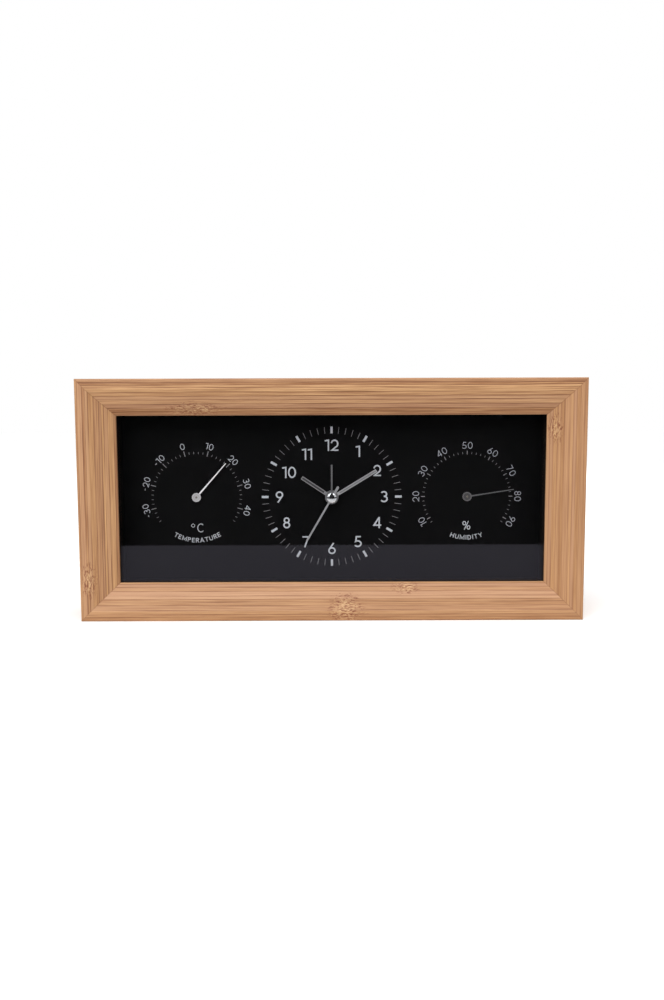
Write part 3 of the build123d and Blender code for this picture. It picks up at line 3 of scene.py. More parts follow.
import bmesh
import bpy
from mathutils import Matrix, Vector


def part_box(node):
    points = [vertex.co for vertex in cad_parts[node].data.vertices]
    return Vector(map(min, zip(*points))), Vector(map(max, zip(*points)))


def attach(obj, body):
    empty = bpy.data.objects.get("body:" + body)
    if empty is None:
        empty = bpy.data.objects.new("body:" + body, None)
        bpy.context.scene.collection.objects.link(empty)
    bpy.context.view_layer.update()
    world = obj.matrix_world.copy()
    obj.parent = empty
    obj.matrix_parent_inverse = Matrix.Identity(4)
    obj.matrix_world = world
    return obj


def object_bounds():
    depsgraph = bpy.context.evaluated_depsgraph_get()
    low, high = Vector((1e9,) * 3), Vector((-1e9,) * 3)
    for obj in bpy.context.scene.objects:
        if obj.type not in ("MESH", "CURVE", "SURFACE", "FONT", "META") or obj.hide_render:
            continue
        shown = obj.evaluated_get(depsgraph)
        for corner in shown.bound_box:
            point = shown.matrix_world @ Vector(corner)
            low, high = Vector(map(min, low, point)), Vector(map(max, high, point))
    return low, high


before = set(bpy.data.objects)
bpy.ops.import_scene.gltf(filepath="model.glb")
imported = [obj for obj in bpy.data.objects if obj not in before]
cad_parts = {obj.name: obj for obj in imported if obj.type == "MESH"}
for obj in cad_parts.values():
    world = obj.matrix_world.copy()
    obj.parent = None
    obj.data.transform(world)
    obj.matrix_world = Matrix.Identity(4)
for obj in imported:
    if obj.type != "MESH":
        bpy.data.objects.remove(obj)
cad_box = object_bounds()

# Bamboo frame
# Four mitred members planed from a board of carbonised bamboo strips glued side by side.
# The front is sanded, with a flat rim and an inward bevel, and sealed with a matt lacquer.

MM = 0.001
BAMBOO_PALE = "#c79a6b"
BAMBOO_DEEP = "#82512c"
BAMBOO_ROSY = "#b28768"
SEAM_DARK = "#693c20"
KNUCKLE_DARK = "#784125"
KNUCKLE_PALE = "#caa679"
LAMELLA_MM = 1.9
LAMELLA_SLANT = 0.25
LAMELLA_WANDER_MM = 0.3
WANDER_LENGTH_MM = 48.0
FIBRE_LENGTH_MM, FIBRE_WIDTH_MM = 38.0, 0.5
STREAK_LENGTH_MM, STREAK_WIDTH_MM = 16.0, 0.34
FIBRE_SPAN = (0.36, 0.64)
FIBRE_SHIFT = 9.0
FIBRE_SHARE, STREAK_SHARE = 0.62, 0.4
MEAN_GRAIN = 0.5
ROSY_SPAN, ROSY_SHARE = (0.3, 1.0), 0.6
SEAM_MM = 0.36
SEAM_SPAN, SEAM_SHARES = (0.1, 0.9), (0.9, 0.15)
FLECK_LENGTH_MM, FLECK_WIDTH_MM = 2.0, 0.6
KNUCKLE_RAGGEDNESS, KNUCKLE_FADE = 1.5, (1.85, 1.25)
MITRE_LINE_MM, GLUE_SHARE = 0.3, 0.45
FIBRE_RELIEF_MM = 0.05
LACQUER_ROUGHNESS, LACQUER_IOR = (0.62, 0.48), 1.48

# Where the row of strips starts and how bold its grain is: lower and upper rail, left and right stile
RAIL_STRIPS, RAIL_BOLDNESS = (115.0, 234.0), (0.9, 1.35)
STILE_STRIPS, STILE_BOLDNESS = (133.0, 275.0), (1.15, 0.7)

# Flecks of a knuckle: colour, noise level where they start and where they are full, and their share
FLECKS = [(KNUCKLE_PALE, 0.52, 0.62, 0.8), (KNUCKLE_DARK, 0.5, 0.38, 0.95)]

# Knuckles of the cane: centre and half size of each, in millimetres
RAIL_KNUCKLES = [
    ((-65.3, -18, 100.8), (13.5, 9, 3.6)), ((6.5, -20, 5.0), (9, 14, 7.5)),
    ((35.5, -18, 14.9), (6.5, 9, 3.0)), ((52, 6, 116), (9, 5, 8)), ((-38, 18, 116), (8, 4, 8)),
]
STILE_KNUCKLES = [
    ((106.4, -18, 91.3), (3.2, 9, 7.5)), ((-115.8, -22, 19.5), (3.8, 9, 9)),
    ((-121, 9, 62), (8, 4, 9)), ((121, 2, 38), (8, 5, 9)),
]


def linear(hex_colour):
    """Linear RGBA of an sRGB hex colour."""
    channels = [int(hex_colour[i:i + 2], 16) / 255 for i in (1, 3, 5)]
    return (*[c / 12.92 if c <= 0.04045 else ((c + 0.055) / 1.055) ** 2.4 for c in channels], 1.0)


def put(tree, kind, inputs, out=0, **settings):
    """Add one node with its settings, set or link its inputs, and return one of its outputs.

    An input goes by its name, or by its number where a node has several of one name.
    """
    made = tree.nodes.new("ShaderNode" + kind)
    for name, value in settings.items():
        setattr(made, name, value)
    for key, value in inputs.items():
        if isinstance(value, bpy.types.NodeSocket):
            tree.links.new(value, made.inputs[key])
        else:
            made.inputs[key].default_value = value
    return made.outputs[out] if made.outputs else None


def new_finish(name):
    """Empty material, its node tree and the part's own coordinates in millimetres."""
    finish = bpy.data.materials.new(name)
    finish.use_nodes = True
    tree = finish.node_tree
    tree.nodes.clear()
    place = put(tree, "TexCoord", {}, out="Object")
    return finish, tree, put(tree, "VectorMath", {0: place, "Scale": 1 / MM}, operation="SCALE")


def dress(finish, *nodes):
    """Give CAD nodes this finish all over."""
    for name in nodes:
        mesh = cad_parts[name].data
        mesh.materials.clear()
        mesh.materials.append(finish)


def carbonised_bamboo(name, along, across, strips, boldness, knuckles):
    """Thin strips glued side by side along one axis: seams, a tone for each, long fibres, knuckles."""
    finish, tree, mm = new_finish(name)
    axes = put(tree, "SeparateXYZ", {0: mm}).node.outputs
    low, high = cad_box
    half_width, half_height = (high[0] - low[0]) / 2 / MM, (high[2] - low[2]) / 2 / MM
    rise = put(tree, "Math", {0: axes["Z"], 1: half_height}, operation="SUBTRACT")
    tall = put(tree, "Math", {0: rise}, operation="ABSOLUTE")
    wide = put(tree, "Math", {0: axes["X"]}, operation="ABSOLUTE")
    outward, side = (tall, rise) if across == "Z" else (wide, axes["X"])

    # Place across the strips, which lean a little with depth and wander a little along their run
    slow = put(tree, "VectorMath", {0: mm, "Scale": 1 / WANDER_LENGTH_MM}, operation="SCALE")
    sway = put(tree, "TexNoise", {"Vector": slow, "Scale": 1.0, "Detail": 1.0})
    lane = put(tree, "Math", {0: axes["Y"], 1: -LAMELLA_SLANT, 2: outward}, operation="MULTIPLY_ADD")
    lane = put(tree, "Math", {0: sway, 1: LAMELLA_WANDER_MM, 2: lane}, operation="MULTIPLY_ADD")
    lane = put(tree, "Math", {0: lane, 1: LAMELLA_MM}, operation="DIVIDE")
    far = put(tree, "Math", {0: side, 1: 0.0}, operation="GREATER_THAN")
    first_strip = put(tree, "MapRange", {0: far, 3: strips[0], 4: strips[1]})
    lane = put(tree, "Math", {0: lane, 1: first_strip}, operation="ADD")
    strip = put(tree, "TexVoronoi", {"W": lane, "Scale": 1.0}, out="Color", voronoi_dimensions="1D")
    luck = put(tree, "SeparateColor", {0: strip}).node.outputs
    edge = put(tree, "TexVoronoi", {
        "W": lane, "Scale": 1.0,
    }, out="Distance", voronoi_dimensions="1D", feature="DISTANCE_TO_EDGE")

    # Fibres drawn out along the run, each strip with its own
    offset = put(tree, "VectorMath", {0: strip, "Scale": FIBRE_SHIFT}, operation="SCALE")
    fibres = []
    for length, width in ((FIBRE_LENGTH_MM, FIBRE_WIDTH_MM), (STREAK_LENGTH_MM, STREAK_WIDTH_MM)):
        stretch = [1 / length if axis == along else 1 / width for axis in "XYZ"]
        drawn = put(tree, "VectorMath", {0: mm, 1: stretch}, operation="MULTIPLY")
        drawn = put(tree, "VectorMath", {0: drawn, 1: offset}, operation="ADD")
        noise = put(tree, "TexNoise", {"Vector": drawn, "Scale": 1.0, "Detail": 2.0, "Roughness": 0.6})
        fibres.append(put(tree, "MapRange", {0: noise, 1: FIBRE_SPAN[0], 2: FIBRE_SPAN[1]}))
    fibre = put(tree, "Mix", {0: STREAK_SHARE, 2: fibres[0], 3: fibres[1]})
    grain = put(tree, "Mix", {0: FIBRE_SHARE, 2: luck["Red"], 3: fibre})
    bold = put(tree, "MapRange", {0: far, 3: boldness[0], 4: boldness[1]})
    grain = put(tree, "Math", {0: grain, 1: MEAN_GRAIN}, operation="SUBTRACT")
    grain = put(tree, "Math", {0: grain, 1: bold, 2: MEAN_GRAIN}, operation="MULTIPLY_ADD")
    wood = put(tree, "Mix", {
        0: grain, 6: linear(BAMBOO_DEEP), 7: linear(BAMBOO_PALE),
    }, out=2, data_type="RGBA")
    rosy = put(tree, "MapRange", {0: luck["Green"], 1: ROSY_SPAN[0], 2: ROSY_SPAN[1], 4: ROSY_SHARE})
    wood = put(tree, "Mix", {0: rosy, 6: wood, 7: linear(BAMBOO_ROSY)}, out=2, data_type="RGBA")

    # Seams: thin dark lines between strips, drawn wider than the real ones so that they show
    seam = put(tree, "MapRange", {0: edge, 1: SEAM_MM / LAMELLA_MM, 2: 0.0})
    faint = put(tree, "MapRange", {
        0: fibres[0], 1: SEAM_SPAN[0], 2: SEAM_SPAN[1], 3: SEAM_SHARES[0], 4: SEAM_SHARES[1],
    })
    seam = put(tree, "Math", {0: seam, 1: faint}, operation="MULTIPLY")
    seam = put(tree, "Math", {0: seam, 1: bold}, operation="MULTIPLY")
    wood = put(tree, "Mix", {0: seam, 6: wood, 7: linear(SEAM_DARK)}, out=2, data_type="RGBA")

    # Knuckles: short freckled stretches where the cane had a joint
    fleck_scale = [1 / FLECK_LENGTH_MM if axis == along else 1 / FLECK_WIDTH_MM for axis in "XYZ"]
    fleck_place = put(tree, "VectorMath", {0: mm, 1: fleck_scale}, operation="MULTIPLY")
    fleck = put(tree, "TexNoise", {"Vector": fleck_place, "Scale": 1.0, "Detail": 2.0, "Distortion": 1.0})
    reach = None
    for centre, half in knuckles:
        away = put(tree, "VectorMath", {0: mm, 1: centre}, operation="SUBTRACT")
        away = put(tree, "VectorMath", {0: away, 1: half}, operation="DIVIDE")
        away = put(tree, "VectorMath", {0: away}, out="Value", operation="LENGTH")
        reach = put(tree, "Math", {0: reach, 1: away}, operation="MINIMUM") if reach else away
    ragged = put(tree, "Math", {0: fleck, 1: KNUCKLE_RAGGEDNESS, 2: reach}, operation="MULTIPLY_ADD")
    knuckle = put(tree, "MapRange", {
        0: ragged, 1: KNUCKLE_FADE[0], 2: KNUCKLE_FADE[1],
    }, interpolation_type="SMOOTHSTEP")
    for colour, start, full, share in FLECKS:
        fleck_mask = put(tree, "MapRange", {0: fleck, 1: start, 2: full, 4: share})
        shown = put(tree, "Math", {0: knuckle, 1: fleck_mask}, operation="MULTIPLY")
        wood = put(tree, "Mix", {0: shown, 6: wood, 7: linear(colour)}, out=2, data_type="RGBA")

    # Mitre: a thin line of glue, drawn wider than the real one so that it shows
    off = put(tree, "Math", {0: wide, 1: tall}, operation="SUBTRACT")
    off = put(tree, "Math", {0: off, 1: half_width - half_height}, operation="SUBTRACT")
    off = put(tree, "Math", {0: off}, operation="ABSOLUTE")
    glue = put(tree, "MapRange", {0: off, 1: MITRE_LINE_MM, 2: 0.0, 4: GLUE_SHARE})
    wood = put(tree, "Mix", {0: glue, 6: wood, 7: linear(SEAM_DARK)}, out=2, data_type="RGBA")

    sheen = put(tree, "MapRange", {0: grain, 3: LACQUER_ROUGHNESS[0], 4: LACQUER_ROUGHNESS[1]})
    height = put(tree, "Math", {0: grain, 1: seam}, operation="SUBTRACT")
    relief = put(tree, "Bump", {"Height": height, "Strength": 0.5, "Distance": FIBRE_RELIEF_MM * MM})
    surface = put(tree, "BsdfPrincipled", {
        "Base Color": wood, "Roughness": sheen, "Normal": relief, "IOR": LACQUER_IOR,
    })
    put(tree, "OutputMaterial", {"Surface": surface})
    return finish


# Gives the eye long straight strips of slightly different tan, thin dark seams and freckled knuckles
rails = carbonised_bamboo(
    "carbonised_bamboo_rails", along="X", across="Z",
    strips=RAIL_STRIPS, boldness=RAIL_BOLDNESS, knuckles=RAIL_KNUCKLES,
)
dress(rails, "frame_top", "frame_bottom")
stiles = carbonised_bamboo(
    "carbonised_bamboo_stiles", along="Z", across="X",
    strips=STILE_STRIPS, boldness=STILE_BOLDNESS, knuckles=STILE_KNUCKLES,
)
dress(stiles, "frame_left", "frame_right")


# Loose tongues, dial board and corner blocks
# Plain sawn pine tongues glued into the mitres, and the hidden carrier board and blocks of fibreboard.
# They hardly show until the frame is opened.

PINE = "#c9a873"
PINE_RING = "#a67c48"
PINE_RING_MM = 1.8
RING_WAVE, RING_WOBBLE = 0.3, 2.0
FIBREBOARD = "#8d6f4e"
FIBREBOARD_DARK = "#6a5138"
FIBREBOARD_FLECK_MM = 0.6
SAWN_RELIEF_MM, SAWN_ROUGHNESS = 0.1, 0.85


def sawn_wood(name, pale, dark, pattern_mm, ringed):
    """Unfinished wood: growth rings on a sawn face, or the flecks of pressed fibre."""
    finish, tree, mm = new_finish(name)
    sized = put(tree, "VectorMath", {0: mm, "Scale": 1 / pattern_mm}, operation="SCALE")
    fleck = put(tree, "TexNoise", {"Vector": sized, "Scale": 1.0, "Detail": 4.0})
    if ringed:
        pattern = put(tree, "TexWave", {
            "Vector": sized, "Scale": RING_WAVE, "Distortion": RING_WOBBLE,
        }, out="Fac")
    else:
        pattern = fleck
    colour = put(tree, "Mix", {0: pattern, 6: linear(dark), 7: linear(pale)}, out=2, data_type="RGBA")
    relief = put(tree, "Bump", {"Height": fleck, "Strength": 0.6, "Distance": SAWN_RELIEF_MM * MM})
    surface = put(tree, "BsdfPrincipled", {
        "Base Color": colour, "Roughness": SAWN_ROUGHNESS, "Normal": relief,
    })
    put(tree, "OutputMaterial", {"Surface": surface})
    return finish


# Gives the eye dull straw-coloured wood with darker growth rings
pine = sawn_wood("sawn_pine", PINE, PINE_RING, PINE_RING_MM, ringed=True)
dress(pine, "mitre_tongues")

# Gives the eye a dull brown with fine flecks
fibreboard = sawn_wood(
    "pressed_fibreboard", FIBREBOARD, FIBREBOARD_DARK, FIBREBOARD_FLECK_MM, ringed=False,
)
dress(fibreboard, "dial_board", "corner_blocks")


# Glass
# One pane of 2 mm clear float glass, cut square and laid in from behind against the lip.
# It shows the dial untinted, with a weak mirror image of what stands in front.

GLASS_IOR = 1.5
GLASS_CLEAR = "#ffffff"
GLASS_SMEAR = "#f8f8f9"
SMEAR_MM = 22.0

# Gives the eye what lies behind it, a weak sharp mirror image and the faintest trace of wiping
glass, glass_tree, glass_mm = new_finish("clear_float_glass")
smear_size = put(glass_tree, "VectorMath", {0: glass_mm, "Scale": 1 / SMEAR_MM}, operation="SCALE")
smear = put(glass_tree, "TexNoise", {"Vector": smear_size, "Scale": 1.0, "Detail": 3.0})
mirror = put(glass_tree, "BsdfGlossy", {"Color": linear(GLASS_CLEAR), "Roughness": 0.0})
tint = put(glass_tree, "Mix", {
    0: smear, 6: linear(GLASS_CLEAR), 7: linear(GLASS_SMEAR),
}, out=2, data_type="RGBA")
clear = put(glass_tree, "BsdfTransparent", {"Color": tint})
leaving = put(glass_tree, "NewGeometry", {}, out="Backfacing")
index = put(glass_tree, "MapRange", {0: leaving, 3: GLASS_IOR, 4: 1 / GLASS_IOR})
strength = put(glass_tree, "Fresnel", {"IOR": index})
pane = put(glass_tree, "MixShader", {0: strength, 1: clear, 2: mirror})
put(glass_tree, "OutputMaterial", {"Surface": pane})
dress(glass, "glass_pane")


# Spacer and dial sheet
# A matt black moulded ring stands between glass and dial, and the dial is a sheet of aluminium
# with a stoved satin black coat that takes the print of all three scales.

# The grain of moulded and coated finishes is drawn coarser than the real one so that it shows
GRAINS_PER_CLOUD = 25.0
CLOUD_SHARE = 0.5
NOISE_SPAN = (0.3, 0.7)
GLOSS_SPREAD = 0.05
PLASTIC_IOR = 1.5


def moulded(name, colour, pale, roughness, grain_mm, relief_mm, shine=0.5):
    """Moulded or coated surface: an even colour with fine grain in tone, gloss and relief."""
    finish, tree, mm = new_finish(name)
    sized = put(tree, "VectorMath", {0: mm, "Scale": 1 / grain_mm}, operation="SCALE")
    grain = put(tree, "TexNoise", {"Vector": sized, "Scale": 1.0, "Detail": 3.0})
    cloud = put(tree, "TexNoise", {"Vector": sized, "Scale": 1 / GRAINS_PER_CLOUD, "Detail": 2.0})
    mixed = put(tree, "Mix", {0: CLOUD_SHARE, 2: grain, 3: cloud})
    tint = put(tree, "Mix", {0: mixed, 6: linear(colour), 7: linear(pale)}, out=2, data_type="RGBA")
    gloss = put(tree, "MapRange", {
        0: cloud, 1: NOISE_SPAN[0], 2: NOISE_SPAN[1],
        3: roughness - GLOSS_SPREAD, 4: roughness + GLOSS_SPREAD,
    })
    relief = put(tree, "Bump", {"Height": grain, "Strength": 0.6, "Distance": relief_mm * MM})
    surface = put(tree, "BsdfPrincipled", {
        "Base Color": tint, "Roughness": gloss, "Normal": relief,
        "IOR": PLASTIC_IOR, "Specular IOR Level": shine,
    })
    put(tree, "OutputMaterial", {"Surface": surface})
    return finish


# Gives the eye a dead black step between glass and dial
spacer = moulded(
    "matt_black_polystyrene", "#050505", "#09090a",
    roughness=0.75, grain_mm=0.8, relief_mm=0.03, shine=0.12,
)
dress(spacer, "spacer_frame")

# Gives the eye an even deep black with next to no shine
enamel = moulded(
    "stoved_black_enamel", "#050506", "#080809",
    roughness=0.75, grain_mm=0.5, relief_mm=0.004, shine=0.08,
)
dress(enamel, "dial_sheet")


# Printed scales
# Silver-grey ink, pad printed on the sheet in a thin raised film: minute marks, hour batons and
# upright numerals in the middle, and a radial scale with its unit and its word on each side.

INK_FILM_MM = 0.03
INK_STEP_MM, INK_STEPS = 0.002, 3
INK_GRAIN_MM = 0.25
SAME_SPOT_MM = 1e-6
BEND_LIMIT = 0.4
DIAL_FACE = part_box("dial_sheet")[0].y


def middle(node):
    """Centre of a CAD node's box in the front view, in millimetres."""
    lowest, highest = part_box(node)
    return ((lowest.x + highest.x) / 2 / MM, (lowest.z + highest.z) / 2 / MM)


def arc(x, y, radius_x, radius_y, start, end, steps=24):
    """Points of an arc in the front view, in degrees from the right towards the top."""
    turns = [math.radians(start + (end - start) * i / steps) for i in range(steps + 1)]
    return [(x + radius_x * math.cos(t), y + radius_y * math.sin(t)) for t in turns]


def ring(x, y, radius_x, radius_y):
    """Points of a full turn, which starts and ends at the top."""
    return arc(x, y, radius_x, radius_y, start=90, end=450, steps=36)


def signs(h):
    """Width and stroke centre lines of each sign in a box of unit height, for half stroke width h."""
    top = 1 - h
    six = [ring(0.33, h + 0.25, 0.33 - h, 0.25), [(0.48, 1.0), (0.12, 0.47)]]
    bowl = arc(0.3, 0.73, 0.28 - h, 0.27 - h, 90, -90)
    return {
        "0": (0.7, [ring(0.35, 0.5, 0.35 - h, 0.5 - h)]),
        "1": (0.38, [[(0.0, top - 0.05), (0.38 - h, top), (0.38 - h, 0.0)]]),
        "2": (0.68, [arc(0.34, 0.66 + h - 0.1, 0.34 - h, 0.44 - 2 * h, 168, -38) + [(0.1, h), (0.68, h)]]),
        "3": (0.66, [
            arc(0.31, 0.725, 0.3 - h, 0.275 - h, 150, -90),
            arc(0.32, 0.27 + h / 2, 0.34 - h, 0.27 - h / 2, 90, -150),
        ]),
        "4": (0.74, [[(0.55, 0.96), (0.1, 0.27), (0.74, 0.27)], [(0.56, 1.0), (0.56, 0.0)]]),
        "5": (0.68, [
            [(0.6, top), (0.2, top), (0.15, 0.53)] + arc(0.32, 0.25 + h, 0.36 - h, 0.25, 128, -145),
        ]),
        "6": (0.66, six),
        "7": (0.62, [[(0.0, top), (0.54, top), (0.2, 0.0)]]),
        "8": (0.62, [
            ring(0.31, 0.73, 0.27 - h, 0.27 - h),
            ring(0.31, 0.24 + h, 0.31 - h, 0.23),
        ]),
        "9": (0.66, [[(0.66 - x, 1 - y) for x, y in stroke] for stroke in six]),
        "-": (0.36, [[(0.02, 0.44), (0.3, 0.44)]]),
        "C": (0.72, [arc(0.4, 0.5, 0.4 - h, 0.5 - h, 45, 315)]),
        "A": (0.72, [[(0.03, 0.0), (0.36, 0.96), (0.69, 0.0)], [(0.14, 0.3), (0.58, 0.3)]]),
        "D": (0.66, [[(h, h), (h, top)] + arc(0.24, 0.5, 0.42 - h, 0.5 - h, 90, -90) + [(h, h)]]),
        "E": (0.52, [[(0.52, top), (h, top), (h, h), (0.52, h)], [(h, 0.52), (0.46, 0.52)]]),
        "H": (0.68, [
            [(h, 0.0), (h, 1.0)], [(0.68 - h, 0.0), (0.68 - h, 1.0)], [(h, 0.52), (0.68 - h, 0.52)],
        ]),
        "I": (2 * h, [[(h, 0.0), (h, 1.0)]]),
        "F": (0.5, [[(0.5, top), (h, top), (h, 0.0)], [(h, 0.52), (0.44, 0.52)]]),
        "M": (0.84, [[(h, 0.0), (h, 0.95), (0.42, 0.2), (0.84 - h, 0.95), (0.84 - h, 0.0)]]),
        "N": (0.7, [[(h, 0.0), (h, 0.95), (0.7 - h, 0.05), (0.7 - h, 1.0)]]),
        "O": (0.8, [ring(0.4, 0.5, 0.4 - h, 0.5 - h)]),
        "P": (0.58, [[(h, 0.0), (h, top)] + bowl + [(h, 0.46 + h)]]),
        "R": (0.6, [[(h, 0.0), (h, top)] + bowl + [(h, 0.46 + h)], [(0.3, 0.5), (0.58, 0.0)]]),
        "T": (0.62, [[(0.0, top), (0.62, top)], [(0.31, top), (0.31, 0.0)]]),
        "U": (0.66, [[(h, 1.0)] + arc(0.33, 0.33, 0.33 - h, 0.33 - h, 180, 360) + [(0.66 - h, 1.0)]]),
        "Y": (0.66, [[(0.02, 1.0), (0.33, 0.44), (0.64, 1.0)], [(0.33, 0.46), (0.33, 0.0)]]),
        "+": (0.64, [[(0.02, 0.5), (0.62, 0.5)], [(0.32, 0.2), (0.32, 0.8)]]),
        "%": (0.92, [
            ring(0.21, 0.75, 0.21 - h, 0.25 - h), ring(0.71, 0.25, 0.21 - h, 0.25 - h),
            [(0.7, 1.0), (0.22, 0.0)],
        ]),
    }


def turned(point, clockwise, place):
    """A point swung clockwise about the origin and then moved to a place."""
    angle = math.radians(clockwise)
    x, y = point
    return (
        place[0] + x * math.cos(angle) + y * math.sin(angle),
        place[1] - x * math.sin(angle) + y * math.cos(angle),
    )


def written(text, height, stroke, place, clockwise=0, gap=0.14, stretch=1.0):
    """Strokes of a short line of signs, centred on a place and turned about it."""
    forms = signs(stroke / height / 2)
    length = sum(forms[sign][0] for sign in text) + gap * (len(text) - 1)
    pen = -length / 2
    strokes = []
    for sign in text:
        width, lines = forms[sign]
        for line in lines:
            centred = [((pen + x) * height * stretch, (y - 0.5) * height) for x, y in line]
            strokes.append(([turned(p, clockwise, place) for p in centred], stroke))
        pen += width + gap
    return strokes


def radial(start, end, width, clockwise, centre):
    """Stroke of a mark between two radii."""
    return ([turned((0, start), clockwise, centre), turned((0, end), clockwise, centre)], width)


def add_stroke(solid, points, width, back, film):
    """Add one flat stroke of even width, as a closed film on the face at the given depth."""
    line = [Vector(p) for p in points]
    closed = (line[0] - line[-1]).length < SAME_SPOT_MM
    if closed:
        line.pop()
    rows = []
    for i, point in enumerate(line):
        ways = []
        if i > 0 or closed:
            ways.append((point - line[i - 1]).normalized())
        if i < len(line) - 1 or closed:
            ways.append((line[(i + 1) % len(line)] - point).normalized())
        across = [Vector((-way.y, way.x)) for way in ways]
        normal = sum(across, Vector((0, 0))).normalized()
        spread = normal * (width / 2 / max(BEND_LIMIT, normal.dot(across[0])))
        corners = []
        for y in (back - film, back):
            for spot in (point + spread, point - spread):
                corners.append(solid.verts.new((spot.x * MM, y, spot.y * MM)))
        rows.append(corners)
    pairs = list(zip(rows, rows[1:] + rows[:1])) if closed else list(zip(rows, rows[1:]))
    for a, b in pairs:
        for i, j in ((0, 1), (1, 3), (3, 2), (2, 0)):
            solid.faces.new((a[i], a[j], b[j], b[i]))
    if not closed:
        for end in (rows[0], rows[-1]):
            solid.faces.new((end[0], end[1], end[3], end[2]))


def printed(name, strokes, finish, back, body="case", film_mm=INK_FILM_MM):
    """Mesh of printed or moulded strokes on a face, which rides on a body.

    A film below 0 faces backwards. Neighbouring strokes differ a little in height, so that no two
    faces share a plane where they cross.
    """
    solid = bmesh.new()
    for index, (points, width) in enumerate(strokes):
        step = INK_STEP_MM * (index % INK_STEPS)
        add_stroke(solid, points, width, back, (film_mm + step) * MM)
    bmesh.ops.recalc_face_normals(solid, faces=solid.faces)
    mesh = bpy.data.meshes.new(name)
    solid.to_mesh(mesh)
    solid.free()
    mesh.materials.append(finish)
    piece = bpy.data.objects.new(name, mesh)
    bpy.context.scene.collection.objects.link(piece)
    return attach(piece, body)


# Gives the eye a flat silvery grey with a faint grain, in three tones
ink, soft_ink, faint_ink = [
    moulded(name, colour, pale, roughness=0.6, grain_mm=INK_GRAIN_MM, relief_mm=0.004, shine=0.2)
    for name, colour, pale in (
        ("pad_print_silver_ink", "#b4b8be", "#bcc0c6"),
        ("pad_print_grey_ink", "#9fa2aa", "#a7aab2"),
        ("pad_print_dark_grey_ink", "#7c7b7e", "#848386"),
    )
]

clock = middle("hand_cap")
BATON_OUTER, BATON_LENGTH, BATON_WIDTH = 34.75, 3.3, 1.1
MINUTE_OUTER, MINUTE_LENGTH, MINUTE_WIDTH = 34.7, 3.3, 0.22
NUMERAL_HEIGHT, NUMERAL_STROKE, NUMERAL_RADIUS = 5.6, 0.69, 26.0
NUMERAL_PULL = {"10": 1.6, "11": 1.6, "12": 0.4}
MINUTES_PER_BATON = 5
DEGREES_PER_MINUTE, DEGREES_PER_HOUR = 6, 30
batons = []
minutes = []
for minute in range(60):
    turn = minute * DEGREES_PER_MINUTE
    if minute % MINUTES_PER_BATON == 0:
        batons.append(radial(BATON_OUTER - BATON_LENGTH, BATON_OUTER, BATON_WIDTH, turn, clock))
    else:
        minutes.append(radial(MINUTE_OUTER - MINUTE_LENGTH, MINUTE_OUTER, MINUTE_WIDTH, turn, clock))
numerals = []
for hour in range(1, 13):
    reach = NUMERAL_RADIUS - NUMERAL_PULL.get(str(hour), 0)
    spot = turned((0, reach), hour * DEGREES_PER_HOUR, clock)
    numerals += written(str(hour), NUMERAL_HEIGHT, NUMERAL_STROKE, spot)
printed("clock_hour_batons", batons, ink, DIAL_FACE)
printed("clock_minute_marks", minutes, faint_ink, DIAL_FACE)
printed("clock_numerals", numerals, ink, DIAL_FACE)

DEGREES_PER_UNIT = 3.0
SCALE_STEP, SCALE_NUMBERED = 2, 10
SCALE_MARK_WIDTH, SCALE_MAJOR_WIDTH = 0.22, 0.37
SMALL_STROKE, SMALL_GAP = 0.29, 0.2
WORD_HEIGHT, WORD_STROKE, WORD_STRETCH = 2.25, 0.33, 1.25


def side_scale(name, centre, zero, first, last, minor, major, label_radius, label_height, finish):
    """Radial marks at every second unit, with a longer mark and a number at every tenth."""
    marks, labels = [], []
    for value in range(first, last + 1, SCALE_STEP):
        turn = (value - zero) * DEGREES_PER_UNIT
        if value % SCALE_NUMBERED == 0:
            marks.append(radial(*major, SCALE_MAJOR_WIDTH, turn, centre))
            spot = turned((0, label_radius), turn, centre)
            labels += written(str(value), label_height, SMALL_STROKE, spot, turn, SMALL_GAP)
        else:
            marks.append(radial(*minor, SCALE_MARK_WIDTH, turn, centre))
    printed(name + "_marks", marks, faint_ink, DIAL_FACE)
    printed(name + "_numerals", labels, finish, DIAL_FACE)


def curved_word(word, centre, radius, spread):
    """Letters along the lower arc of a scale, evenly spaced over a spread in degrees, tops inwards."""
    forms = signs(WORD_STROKE / WORD_HEIGHT / 2)
    widths = [forms[letter][0] * WORD_HEIGHT * WORD_STRETCH for letter in word]
    gap = (math.radians(spread) * radius - sum(widths)) / (len(word) - 1)
    strokes = []
    pen = -math.radians(spread) * radius / 2
    for letter, width in zip(word, widths):
        swing = math.degrees((pen + width / 2) / radius)
        spot = turned((0, -radius), -swing, centre)
        strokes += written(letter, WORD_HEIGHT, WORD_STROKE, spot, -swing, stretch=WORD_STRETCH)
        pen += width + gap
    return strokes


thermometer = middle("thermo_arbor")
hygrometer = middle("hygro_arbor")
side_scale(
    "thermometer", thermometer, zero=5, first=-36, last=46, minor=(21.4, 22.5), major=(20.9, 23.5),
    label_radius=25.9, label_height=3.1, finish=ink,
)
side_scale(
    "hygrometer", hygrometer, zero=50, first=8, last=92, minor=(21.1, 22.1), major=(20.8, 22.7),
    label_radius=25.3, label_height=3.3, finish=soft_ink,
)

